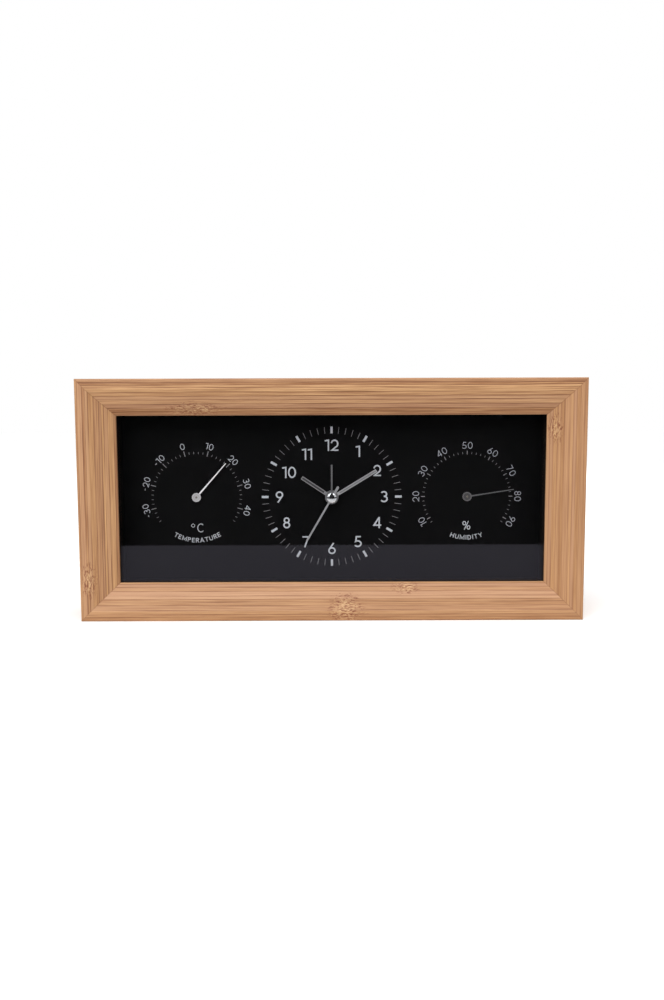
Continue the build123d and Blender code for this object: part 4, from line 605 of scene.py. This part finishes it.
CELSIUS_HEIGHT, CELSIUS_STROKE, CELSIUS_PLACE = 4.4, 0.36, (1.6, -15.4)
DEGREE_RADIUS, DEGREE_STROKE, DEGREE_PLACE = 0.8, 0.25, (-2.1, -14.2)
PERCENT_HEIGHT, PERCENT_STROKE, PERCENT_PLACE = 4.3, 0.4, (0, -14.5)
celsius = written("C", CELSIUS_HEIGHT, CELSIUS_STROKE, turned(CELSIUS_PLACE, 0, thermometer))
degree = ring(*turned(DEGREE_PLACE, 0, thermometer), DEGREE_RADIUS, DEGREE_RADIUS)
percent = written("%", PERCENT_HEIGHT, PERCENT_STROKE, turned(PERCENT_PLACE, 0, hygrometer))
printed("thermometer_unit", celsius + [(degree, DEGREE_STROKE)], ink, DIAL_FACE)
printed("hygrometer_unit", percent, ink, DIAL_FACE)

thermometer_word = curved_word("TEMPERATURE", thermometer, radius=21.6, spread=63)
hygrometer_word = curved_word("HUMIDITY", hygrometer, radius=20.6, spread=45)
printed("thermometer_word", thermometer_word, ink, DIAL_FACE)
printed("hygrometer_word", hygrometer_word, ink, DIAL_FACE)


# Hands, cap and needles
# Hour, minute, second and alarm hands stamped from aluminium and finished in satin grey, a polished
# chrome dome over their arbor, and two thin needles, one bright and one dull, pressed on brass arbors.

HAND_GROOVE_MM = 0.22
HAND_HUB_MM, HAND_RIM_MM = 3.3, 2.9
NEEDLE_HUB_MM, NEEDLE_RIM_MM = 2.5, 1.8

# Scratches and turning rings are drawn coarser than the real ones so that they show
# The last number below is how far a hub's painted rim highlight fades in, in millimetres
TURNING_PITCH_MM, TURNING_SHADES, RIM_HIGHLIGHT_MM = 0.8, (0.9, 1.1), 0.2
SCRATCH_GLOSS = (0.8, 1.2)
HAND_SATIN = {"metallic": 0.25, "roughness": 0.5, "scratch_mm": (0.2, 0.2, 5.0), "relief_mm": 0.004}
NEEDLE_SATIN = {"metallic": 0.15, "roughness": 0.45, "scratch_mm": (0.3, 0.3, 0.3), "relief_mm": 0.004}


def metal(name, colour, pale, metallic, roughness, scratch_mm, relief_mm):
    """Metal with fine scratches, from their size along each axis."""
    finish, tree, mm = new_finish(name)
    per_mm = [1 / size for size in scratch_mm]
    drawn = put(tree, "VectorMath", {0: mm, 1: per_mm}, operation="MULTIPLY")
    scratch = put(tree, "TexNoise", {"Vector": drawn, "Scale": 1.0, "Detail": 3.0})
    tint = put(tree, "Mix", {0: scratch, 6: linear(colour), 7: linear(pale)}, out=2, data_type="RGBA")
    gloss = put(tree, "MapRange", {
        0: scratch, 1: NOISE_SPAN[0], 2: NOISE_SPAN[1],
        3: roughness * SCRATCH_GLOSS[0], 4: roughness * SCRATCH_GLOSS[1],
    })
    relief = put(tree, "Bump", {"Height": scratch, "Strength": 0.4, "Distance": relief_mm * MM})
    surface = put(tree, "BsdfPrincipled", {
        "Base Color": tint, "Metallic": metallic, "Roughness": gloss, "Normal": relief,
    })
    put(tree, "OutputMaterial", {"Surface": surface})
    return finish


def repaint(finish, mask, paint):
    """Lay a paint over a finish's own colour wherever a mask is 1."""
    tree = finish.node_tree
    shader = next(n for n in tree.nodes if n.type == "BSDF_PRINCIPLED")
    below = shader.inputs["Base Color"].links[0].from_socket
    covered = put(tree, "Mix", {0: mask, 6: below, 7: paint}, out=2, data_type="RGBA")
    tree.links.new(covered, shader.inputs["Base Color"])


def grooved_hand(node, rim, pale, groove):
    """Satin grey hand whose recessed middle gets painted shade, a darker grey than the rim round it."""
    finish = metal("satin_grey_" + node, rim, pale, **HAND_SATIN)
    tree = finish.node_tree
    deep = put(tree, "SeparateXYZ", {0: put(tree, "TexCoord", {}, out="Object")}, out="Y")
    floor_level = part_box(node)[0].y + HAND_GROOVE_MM * MM / 2
    # The groove floor is coloured darker: painted shade in the recess
    groove_shade = put(tree, "Math", {0: deep, 1: floor_level}, operation="GREATER_THAN")
    repaint(finish, groove_shade, linear(groove))
    dress(finish, node)
    return finish


def turned_hub(finish, arbor, hub, rim, hub_mm, rim_mm):
    """Paint the hub round an arbor in its own tone, with fine turning rings and a painted highlight on its
    rim.
    """
    tree = finish.node_tree
    x, z = middle(arbor)
    place = put(tree, "TexCoord", {}, out="Object")
    mm = put(tree, "VectorMath", {0: place, "Scale": 1 / MM}, operation="SCALE")
    flat = put(tree, "VectorMath", {0: mm, 1: (1, 0, 1)}, operation="MULTIPLY")
    out = put(tree, "VectorMath", {0: flat, 1: (x, 0, z)}, out="Value", operation="DISTANCE")
    ringed = put(tree, "Math", {0: out, 1: 2 * math.pi / TURNING_PITCH_MM}, operation="MULTIPLY")
    ringed = put(tree, "Math", {0: ringed}, operation="SINE")
    shade = put(tree, "MapRange", {0: ringed, 1: -1.0, 3: TURNING_SHADES[0], 4: TURNING_SHADES[1]})
    # The paler band at the rim is a painted highlight
    rim_highlight = put(tree, "MapRange", {0: out, 1: rim_mm - RIM_HIGHLIGHT_MM, 2: rim_mm})
    hub_tone_with_highlight = put(tree, "Mix", {
        0: rim_highlight, 6: linear(hub), 7: linear(rim),
    }, out=2, data_type="RGBA")
    tone = put(tree, "HueSaturation", {"Value": shade, "Color": hub_tone_with_highlight})
    repaint(finish, put(tree, "Math", {0: out, 1: hub_mm}, operation="LESS_THAN"), tone)


# Gives the eye an even mid grey with a faint grain, and a dark line of painted shade down each broad hand
grooved_hand("hour_hand", rim="#8a8a8c", pale="#949496", groove="#3c3c3e")
minute_grey = grooved_hand("minute_hand", rim="#a7a7a9", pale="#b1b1b3", groove="#808082")
# The minute hand's hub gets a painted highlight on its rim
turned_hub(minute_grey, "hand_cap", hub="#666668", rim="#727274", hub_mm=HAND_HUB_MM, rim_mm=HAND_RIM_MM)
dress(metal("satin_grey_aluminium", "#929294", "#9e9ea0", **HAND_SATIN), "second_hand")
dress(metal("dark_satin_aluminium", "#656567", "#6f6f71", **HAND_SATIN), "alarm_hand")

# Gives the eye a small bright mirror
chrome = metal(
    "polished_chrome", "#d2d4d7", "#dcdee0",
    metallic=1.0, roughness=0.07, scratch_mm=(2.0, 2.0, 2.0), relief_mm=0.001,
)
dress(chrome, "hand_cap")

# Gives the eye a bright needle on the left and a dull one on the right, each hub with a painted rim
# highlight
tinned = metal("bright_tinned_needle", "#e4e4e5", "#f0f0f1", **NEEDLE_SATIN)
turned_hub(tinned, "thermo_arbor", hub="#afaeaf", rim="#bdbcbd", hub_mm=NEEDLE_HUB_MM, rim_mm=NEEDLE_RIM_MM)
dress(tinned, "thermo_pointer")
dull = metal("dull_grey_needle", "#58585a", "#626264", **NEEDLE_SATIN)
turned_hub(dull, "hygro_arbor", hub="#434142", rim="#626061", hub_mm=NEEDLE_HUB_MM, rim_mm=NEEDLE_RIM_MM)
dress(dull, "hygro_pointer")

# Gives the eye a dull yellowish grey point in the middle of each hub
brass = metal(
    "tarnished_brass", "#6f6a60", "#827b6e",
    metallic=0.6, roughness=0.4, scratch_mm=(0.3, 0.08, 0.3), relief_mm=0.004,
)
dress(brass, "thermo_arbor", "hygro_arbor")


# Sensors behind the dial
# Open cups moulded in black polystyrene hold a wound bimetal strip on the left and a wound strip of
# paper-backed film on the right. Each is held to the board by two zinc-plated screws.

# Gives the eye plain black with a soft moulded shine
cup = moulded(
    "black_polystyrene_cup", "#1a1a1b", "#242426", roughness=0.45, grain_mm=0.7, relief_mm=0.02,
)
dress(cup, "thermo_cup", "hygro_cup")

# Gives the eye warm bright metal with fine lines along the coil
bimetal = metal(
    "rolled_bimetal", "#a8865c", "#c4a57c",
    metallic=1.0, roughness=0.32, scratch_mm=(1.6, 0.15, 1.6), relief_mm=0.003,
)
dress(bimetal, "thermo_strip")

# Gives the eye a dull ivory ribbon with a paper grain
film = moulded("humidity_film", "#c8bfa8", "#ddd6c4", roughness=0.6, grain_mm=0.3, relief_mm=0.01)
dress(film, "hygro_strip")

# Gives the eye light grey screw heads with a mottled shine
zinc = metal(
    "zinc_plated_steel", "#8f9296", "#b4b7ba",
    metallic=1.0, roughness=0.3, scratch_mm=(0.4, 0.4, 0.4), relief_mm=0.006,
)
dress(zinc, "sensor_screws", "movement_screws")


# Movement
# A quartz alarm movement in two shells of black ABS with a fine spark-eroded texture, screwed through
# four ears. Its wheels are moulded in natural acetal, its motor is soft iron with a copper coil.

# Gives the eye black with the fine even sparkle of an eroded mould
abs_black = moulded(
    "spark_eroded_black_abs", "#161617", "#222224", roughness=0.5, grain_mm=0.35, relief_mm=0.02,
)
dress(abs_black, "movement_front_case", "movement_rear_case")

# Gives the eye milky white with a waxy shine
acetal = moulded("natural_acetal", "#d9d6cc", "#e8e5dc", roughness=0.4, grain_mm=0.9, relief_mm=0.004)
dress(
    acetal, "intermediate_wheel", "seconds_wheel", "third_wheel", "centre_wheel", "motion_wheel",
    "hour_wheel", "alarm_wheel", "time_set_gear", "alarm_set_gear",
)

# Gives the eye dark grey metal with the lines of rolling
iron = metal(
    "soft_iron", "#5c5d60", "#74767a",
    metallic=1.0, roughness=0.42, scratch_mm=(2.5, 0.3, 0.3), relief_mm=0.006,
)
dress(iron, "motor_stator", "motor_core")

# Gives the eye a smooth blue-black
ferrite = moulded("ferrite_magnet", "#2b2c30", "#3a3b40", roughness=0.4, grain_mm=0.3, relief_mm=0.006)
dress(ferrite, "motor_rotor")

# Gives the eye bright warm grey strip
nickel = metal(
    "nickel_plated_spring_steel", "#a9a69c", "#c6c3b8",
    metallic=1.0, roughness=0.25, scratch_mm=(0.2, 2.0, 0.2), relief_mm=0.004,
)
dress(nickel, "battery_contact_plus", "battery_contact_minus", "quartz_crystal")

# Gives the eye a flat black disc
phenolic = moulded("buzzer_phenolic", "#141415", "#1d1d1f", roughness=0.55, grain_mm=0.5, relief_mm=0.01)
dress(phenolic, "buzzer")

BOARD_GREEN = "#1f5a38"
TRACK_GREEN = "#2f7a4c"
TRACK_PITCH_MM = 1.6
TRACK_EDGE = (0.42, 0.5)
TRACK_RISE_MM = 0.03

# Gives the eye glossy green with paler tracks under it
board, board_tree, board_mm = new_finish("glass_epoxy_circuit")
lanes = put(board_tree, "VectorMath", {0: board_mm, "Scale": 1 / TRACK_PITCH_MM}, operation="SCALE")
cells = put(board_tree, "TexVoronoi", {
    "Vector": lanes, "Scale": 1.0,
}, out="Distance", distance="MANHATTAN")
track = put(board_tree, "MapRange", {0: cells, 1: TRACK_EDGE[0], 2: TRACK_EDGE[1]})
mask = put(board_tree, "Mix", {
    0: track, 6: linear(BOARD_GREEN), 7: linear(TRACK_GREEN),
}, out=2, data_type="RGBA")
ridge = put(board_tree, "Bump", {"Height": track, "Strength": 0.5, "Distance": TRACK_RISE_MM * MM})
lacquer = put(board_tree, "BsdfPrincipled", {"Base Color": mask, "Roughness": 0.32, "Normal": ridge})
put(board_tree, "OutputMaterial", {"Surface": lacquer})
dress(board, "circuit_board")

COPPER_DARK = "#7c3f1e"
COPPER_PALE = "#c8743c"
WIRE_PITCH_MM, WIRE_RISE_MM = 0.28, 0.05
ONE_BAND_PER_UNIT = 0.314

# Gives the eye copper-brown turns side by side, drawn wider than the real wire so that they show
coil, coil_tree, coil_mm = new_finish("enamelled_copper_wire")
turns = put(coil_tree, "VectorMath", {0: coil_mm, "Scale": 1 / WIRE_PITCH_MM}, operation="SCALE")
wire = put(coil_tree, "TexWave", {
    "Vector": turns, "Scale": ONE_BAND_PER_UNIT, "Distortion": 0.3,
}, out="Fac", bands_direction="X")
copper = put(coil_tree, "Mix", {
    0: wire, 6: linear(COPPER_DARK), 7: linear(COPPER_PALE),
}, out=2, data_type="RGBA")
groove = put(coil_tree, "Bump", {"Height": wire, "Strength": 0.8, "Distance": WIRE_RISE_MM * MM})
winding = put(coil_tree, "BsdfPrincipled", {
    "Base Color": copper, "Metallic": 0.8, "Roughness": 0.35, "Normal": groove,
})
put(coil_tree, "OutputMaterial", {"Surface": winding})
dress(coil, "motor_coil")


# Battery
# One AA cell: a steel can in a printed shrink sleeve, bare at the stud and round the flat end.
# The sleeve is plain, with a copper-coloured band at the stud end.

SLEEVE_BLACK = "#1b1c20"
SLEEVE_COPPER = "#b8763a"
CAN_STEEL = "#b9bcc0"
COPPER_BAND_MM = 13.0
BARE_AT_STUD_MM, BARE_AT_FLAT_MM = 0.5, 0.3
STUD_MM = 1.3
SCUFFS_PER_MM = (0.12, 1.2, 1.2)
SCUFF_SHADES = (0.85, 1.15)
FOIL_METALLIC = 0.75
SLEEVE_ROUGHNESS = (0.24, 0.36)
WRINKLE_MM = 0.05

# Gives the eye glossy black and copper foil with light scuffs along the cell, and bright steel ends
cell_low, cell_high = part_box("battery_cell")
cell, cell_tree, cell_mm = new_finish("shrink_sleeved_cell")
along = put(cell_tree, "SeparateXYZ", {0: cell_mm}).node.outputs["X"]
stud_edge = cell_high.x / MM - STUD_MM
from_stud = put(cell_tree, "Math", {0: stud_edge, 1: along}, operation="SUBTRACT")
from_flat = put(cell_tree, "Math", {0: along, 1: cell_low.x / MM}, operation="SUBTRACT")
band = put(cell_tree, "Math", {0: from_stud, 1: COPPER_BAND_MM}, operation="LESS_THAN")
bare = put(cell_tree, "Math", {
    0: put(cell_tree, "Math", {0: from_stud, 1: BARE_AT_STUD_MM}, operation="LESS_THAN"),
    1: put(cell_tree, "Math", {0: from_flat, 1: BARE_AT_FLAT_MM}, operation="LESS_THAN"),
}, operation="MAXIMUM")
scuff_size = put(cell_tree, "VectorMath", {0: cell_mm, 1: SCUFFS_PER_MM}, operation="MULTIPLY")
scuff = put(cell_tree, "TexNoise", {"Vector": scuff_size, "Scale": 1.0, "Detail": 4.0})
sleeve = put(cell_tree, "Mix", {
    0: band, 6: linear(SLEEVE_BLACK), 7: linear(SLEEVE_COPPER),
}, out=2, data_type="RGBA")
shade = put(cell_tree, "MapRange", {0: scuff, 3: SCUFF_SHADES[0], 4: SCUFF_SHADES[1]})
sleeve = put(cell_tree, "HueSaturation", {"Value": shade, "Color": sleeve})
coat = put(cell_tree, "Mix", {0: bare, 6: sleeve, 7: linear(CAN_STEEL)}, out=2, data_type="RGBA")
foil = put(cell_tree, "Math", {0: band, 1: FOIL_METALLIC}, operation="MULTIPLY")
shine = put(cell_tree, "Math", {0: foil, 1: bare}, operation="MAXIMUM")
gloss = put(cell_tree, "MapRange", {
    0: scuff, 1: NOISE_SPAN[0], 2: NOISE_SPAN[1], 3: SLEEVE_ROUGHNESS[0], 4: SLEEVE_ROUGHNESS[1],
})
wrinkle = put(cell_tree, "Bump", {"Height": scuff, "Strength": 0.25, "Distance": WRINKLE_MM * MM})
can = put(cell_tree, "BsdfPrincipled", {
    "Base Color": coat, "Metallic": shine, "Roughness": gloss, "Normal": wrinkle,
})
put(cell_tree, "OutputMaterial", {"Surface": can})
dress(cell, "battery_cell")


# Knobs, switch and moulded signs
# Two ridged knobs pressed on the setting arbors and the alarm slide, all moulded in black ABS with a
# smoother skin than the shell. The shell bears raised arrows at the knobs, and signs at slide and cell.

# Gives the eye black a shade paler and smoother than the shell
knob = moulded("satin_black_abs", "#1d1d1f", "#2a2a2c", roughness=0.42, grain_mm=0.6, relief_mm=0.008)
dress(knob, "time_set_knob", "alarm_set_knob", "alarm_switch_slider")

SIGN_RISE_MM, SIGN_STROKE = 0.4, 0.6
ARROW_RADIUS, ARROW_SWING = 7.0, 55
ARROW_BARB, BARB_ANGLE = 1.7, 0.65
WORD_BELOW_SLIDE, OFF_BEFORE_SLIDE, ON_BEYOND_SLIDE = 3.8, 1.4, 5.4
SWITCH_WORD_HEIGHT, SWITCH_WORD_STROKE = 2.0, 0.36
POLE_HEIGHT, POLE_ABOVE_CELL, POLE_FROM_END = 3.0, 9.7, 3.0


def arrow_barbs(tip, before):
    """Two short strokes that meet at the tip of an arrow."""
    way = math.atan2(tip[1] - before[1], tip[0] - before[0])
    ends = [
        (tip[0] - ARROW_BARB * math.cos(way + swing), tip[1] - ARROW_BARB * math.sin(way + swing))
        for swing in (-BARB_ANGLE, BARB_ANGLE)
    ]
    return ([ends[0], tip, ends[1]], SIGN_STROKE)


def read_from_behind(text, height, stroke, place):
    """A short line of signs that reads rightly on a face that looks backwards."""
    strokes = written(text, height, stroke, place)
    return [([(2 * place[0] - x, z) for x, z in points], width) for points, width in strokes]


moulded_signs = []
for node, both_ways in (("time_set_knob", True), ("alarm_set_knob", False)):
    bend = arc(*middle(node), ARROW_RADIUS, ARROW_RADIUS, -ARROW_SWING, ARROW_SWING)
    moulded_signs += [(bend, SIGN_STROKE), arrow_barbs(bend[-1], bend[-2])]
    if both_ways:
        moulded_signs.append(arrow_barbs(bend[0], bend[1]))
slide_x, slide_z = middle("alarm_switch_slider")
for word, x in (("OFF", slide_x - OFF_BEFORE_SLIDE), ("ON", slide_x + ON_BEYOND_SLIDE)):
    spot = (x, slide_z - WORD_BELOW_SLIDE)
    moulded_signs += read_from_behind(word, SWITCH_WORD_HEIGHT, SWITCH_WORD_STROKE, spot)
cell_z = middle("battery_cell")[1]
for pole, x in (("+", cell_high.x / MM - POLE_FROM_END), ("-", cell_low.x / MM + POLE_FROM_END)):
    moulded_signs += read_from_behind(pole, POLE_HEIGHT, SIGN_STROKE, (x, cell_z + POLE_ABOVE_CELL))
shell_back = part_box("movement_rear_case")[1].y
printed("moulded_signs", moulded_signs, abs_black, shell_back, film_mm=-SIGN_RISE_MM)


# Back panel
# A sheet of black hardboard with a printed leather grain, slotted behind both sensors and held on the
# rear ledge by six black pan-head screws.

PANEL_BLACK, PANEL_PALE = "#151515", "#222222"
PANEL_GRAIN_MM, PANEL_RISE_MM = 1.1, 0.12
PANEL_CLOUD_SCALE = 0.03
PEBBLE_SPAN = (0.1, 0.7)
PANEL_ROUGHNESS = (0.42, 0.6)

# Gives the eye soft black pebbles that catch the light, on a ground that varies a little
panel, panel_tree, panel_mm = new_finish("leather_grained_hardboard")
grain_size = put(panel_tree, "VectorMath", {0: panel_mm, "Scale": 1 / PANEL_GRAIN_MM}, operation="SCALE")
pebble = put(panel_tree, "TexVoronoi", {
    "Vector": grain_size, "Scale": 1.0, "Smoothness": 0.6,
}, out="Distance", feature="SMOOTH_F1")
cloud = put(panel_tree, "TexNoise", {"Vector": grain_size, "Scale": PANEL_CLOUD_SCALE, "Detail": 3.0})
panel_tint = put(panel_tree, "Mix", {
    0: cloud, 6: linear(PANEL_BLACK), 7: linear(PANEL_PALE),
}, out=2, data_type="RGBA")
panel_gloss = put(panel_tree, "MapRange", {
    0: pebble, 1: PEBBLE_SPAN[0], 2: PEBBLE_SPAN[1], 3: PANEL_ROUGHNESS[0], 4: PANEL_ROUGHNESS[1],
})
hide = put(panel_tree, "Bump", {"Height": pebble, "Strength": 0.7, "Distance": PANEL_RISE_MM * MM})
panel_skin = put(panel_tree, "BsdfPrincipled", {
    "Base Color": panel_tint, "Roughness": panel_gloss, "Normal": hide,
})
put(panel_tree, "OutputMaterial", {"Surface": panel_skin})
dress(panel, "back_panel")

# Gives the eye dark screw heads with a mottled shine
blackened = metal(
    "blackened_steel", "#3a3b3d", "#55575a",
    metallic=1.0, roughness=0.34, scratch_mm=(0.5, 0.5, 0.5), relief_mm=0.008,
)
dress(blackened, "panel_screws")


# Studio
# A plain white floor that runs out into a white surround, a softbox in front, one behind and a broad
# overhead light.
# A black card and a grey card in front show only in reflections; the grey card glows, a painted reflection.

# Sizes and places of the studio are in metres
FLOOR_WHITE = "#ffffff"
FLOOR_REACH = 6.0
FLOOR_EDGE = -0.245
GREY_EDGE = -0.09
CARD_WIDTH, CARD_HEIGHT = 1.6, 0.11
PEAK_WIDTH, PEAK_TOP_WIDTH, PEAK_HEIGHT = 0.36, 0.2, 0.5
CARD_LIFT = 0.0005
CARD_BLACK = "#020202"
CARD_GREY = "#908d9b"
CARD_WHITE = "#f2f2f4"
MATT_ROUGHNESS, MATT_SHINE = 0.95, 0.1
PANE_CROSSINGS = 2.5


def sheet(name, corners, colour):
    """One flat stage face in a plain matt colour."""
    mesh = bpy.data.meshes.new(name)
    mesh.from_pydata(corners, [], [tuple(range(len(corners)))])
    finish = bpy.data.materials.new(name + "_paint")
    finish.use_nodes = True
    matt = finish.node_tree.nodes["Principled BSDF"].inputs
    matt["Base Color"].default_value = linear(colour)
    matt["Roughness"].default_value = MATT_ROUGHNESS
    matt["Specular IOR Level"].default_value = MATT_SHINE
    mesh.materials.append(finish)
    face = bpy.data.objects.new(name, mesh)
    bpy.context.scene.collection.objects.link(face)
    return face


sheet("floor", [
    (-FLOOR_REACH, -FLOOR_REACH, 0), (FLOOR_REACH, -FLOOR_REACH, 0),
    (FLOOR_REACH, FLOOR_REACH, 0), (-FLOOR_REACH, FLOOR_REACH, 0),
], FLOOR_WHITE)
card = sheet("black_card", [
    (-CARD_WIDTH / 2, FLOOR_EDGE, 0), (CARD_WIDTH / 2, FLOOR_EDGE, 0),
    (CARD_WIDTH / 2, FLOOR_EDGE, CARD_HEIGHT), (PEAK_WIDTH / 2, FLOOR_EDGE, CARD_HEIGHT),
    (PEAK_TOP_WIDTH / 2, FLOOR_EDGE, PEAK_HEIGHT), (-PEAK_TOP_WIDTH / 2, FLOOR_EDGE, PEAK_HEIGHT),
    (-PEAK_WIDTH / 2, FLOOR_EDGE, CARD_HEIGHT), (-CARD_WIDTH / 2, FLOOR_EDGE, CARD_HEIGHT),
], CARD_BLACK)
glowing_grey_card = sheet("glowing_grey_card", [
    (-CARD_WIDTH / 2, FLOOR_EDGE, CARD_LIFT), (CARD_WIDTH / 2, FLOOR_EDGE, CARD_LIFT),
    (CARD_WIDTH / 2, GREY_EDGE, CARD_LIFT), (-CARD_WIDTH / 2, GREY_EDGE, CARD_LIFT),
], CARD_GREY)

# The grey card glows evenly: grey in the pane's own mirror image, white in metal seen through the pane
grey_glow = glowing_grey_card.data.materials[0]
grey_glow.cycles.emission_sampling = "NONE"
glow_tree = grey_glow.node_tree
glow_tree.nodes.clear()
crossings = put(glow_tree, "LightPath", {}, out="Transparent Depth")
behind = put(glow_tree, "Math", {0: crossings, 1: PANE_CROSSINGS}, operation="GREATER_THAN")
card_tone = put(glow_tree, "Mix", {
    0: behind, 6: linear(CARD_GREY), 7: linear(CARD_WHITE),
}, out=2, data_type="RGBA")
put(glow_tree, "OutputMaterial", {"Surface": put(glow_tree, "Emission", {"Color": card_tone})})
for mirrored in (card, glowing_grey_card):
    mirrored.visible_camera = False
    mirrored.visible_diffuse = False
    mirrored.visible_shadow = False
    mirrored.visible_transmission = False

target = Vector((0, 0, (cad_box[0][2] + cad_box[1][2]) / 2))


def softbox(name, place, size, power):
    """Square area lamp that faces the middle of the object."""
    lamp = bpy.data.lights.new(name, "AREA")
    lamp.size = size
    lamp.energy = power
    holder = bpy.data.objects.new(name, lamp)
    holder.location = place
    holder.rotation_euler = (Vector(place) - target).to_track_quat("Z", "Y").to_euler()
    bpy.context.scene.collection.objects.link(holder)


softbox("key_softbox", place=(-0.3, -0.75, 0.6), size=0.6, power=2.5)
softbox("rear_softbox", place=(0.5, 1.0, 0.7), size=0.8, power=6.0)

OVERHEAD_STRENGTH, OVERHEAD_SPREAD = 2.7, 80
OVERHEAD_FROM = (-0.13, -0.57, 0.82)
overhead = bpy.data.lights.new("overhead_light", "SUN")
overhead.energy = OVERHEAD_STRENGTH
overhead.angle = math.radians(OVERHEAD_SPREAD)
overhead_holder = bpy.data.objects.new("overhead_light", overhead)
overhead_holder.rotation_euler = Vector(OVERHEAD_FROM).to_track_quat("Z", "Y").to_euler()
bpy.context.scene.collection.objects.link(overhead_holder)

# The surround looks white, and white in reflections too, but lights the object less than it looks
SURROUND_WHITE = "#ffffff"
SURROUND_LIGHT, SURROUND_SEEN = 0.3, 1.0
world = bpy.data.worlds.new("white_surround")
world.use_nodes = True
sky = world.node_tree
sky.nodes.clear()
path = put(sky, "LightPath", {}).node.outputs
seen = put(sky, "Math", {0: path["Is Camera Ray"], 1: path["Is Glossy Ray"]}, operation="MAXIMUM")
level = put(sky, "MapRange", {0: seen, 3: SURROUND_LIGHT, 4: SURROUND_SEEN})
glow = put(sky, "Background", {"Color": linear(SURROUND_WHITE), "Strength": level})
put(sky, "OutputWorld", {"Surface": glow})
bpy.context.scene.world = world
bpy.context.scene.view_settings.view_transform = "Standard"

# The photograph was taken from straight in front and above the middle, looking a little down
CAMERA_PLACE = (-0.0002, -0.4238, 0.0964)
CAMERA_PITCH, CAMERA_ROLL, CAMERA_YAW = 5.5, 0.19, -0.06
LENS_MM, SENSOR_MM = 30.6, 36.0
NEAREST_SEEN = 0.01
camera = bpy.data.cameras.new("camera")
camera.sensor_fit = "VERTICAL"
camera.sensor_height = SENSOR_MM
camera.lens = LENS_MM
camera.clip_start = NEAREST_SEEN
viewer = bpy.data.objects.new("camera", camera)
viewer.location = CAMERA_PLACE
viewer.rotation_euler = [math.radians(a) for a in (90 - CAMERA_PITCH, CAMERA_ROLL, CAMERA_YAW)]
bpy.context.scene.collection.objects.link(viewer)
bpy.context.scene.camera = viewer
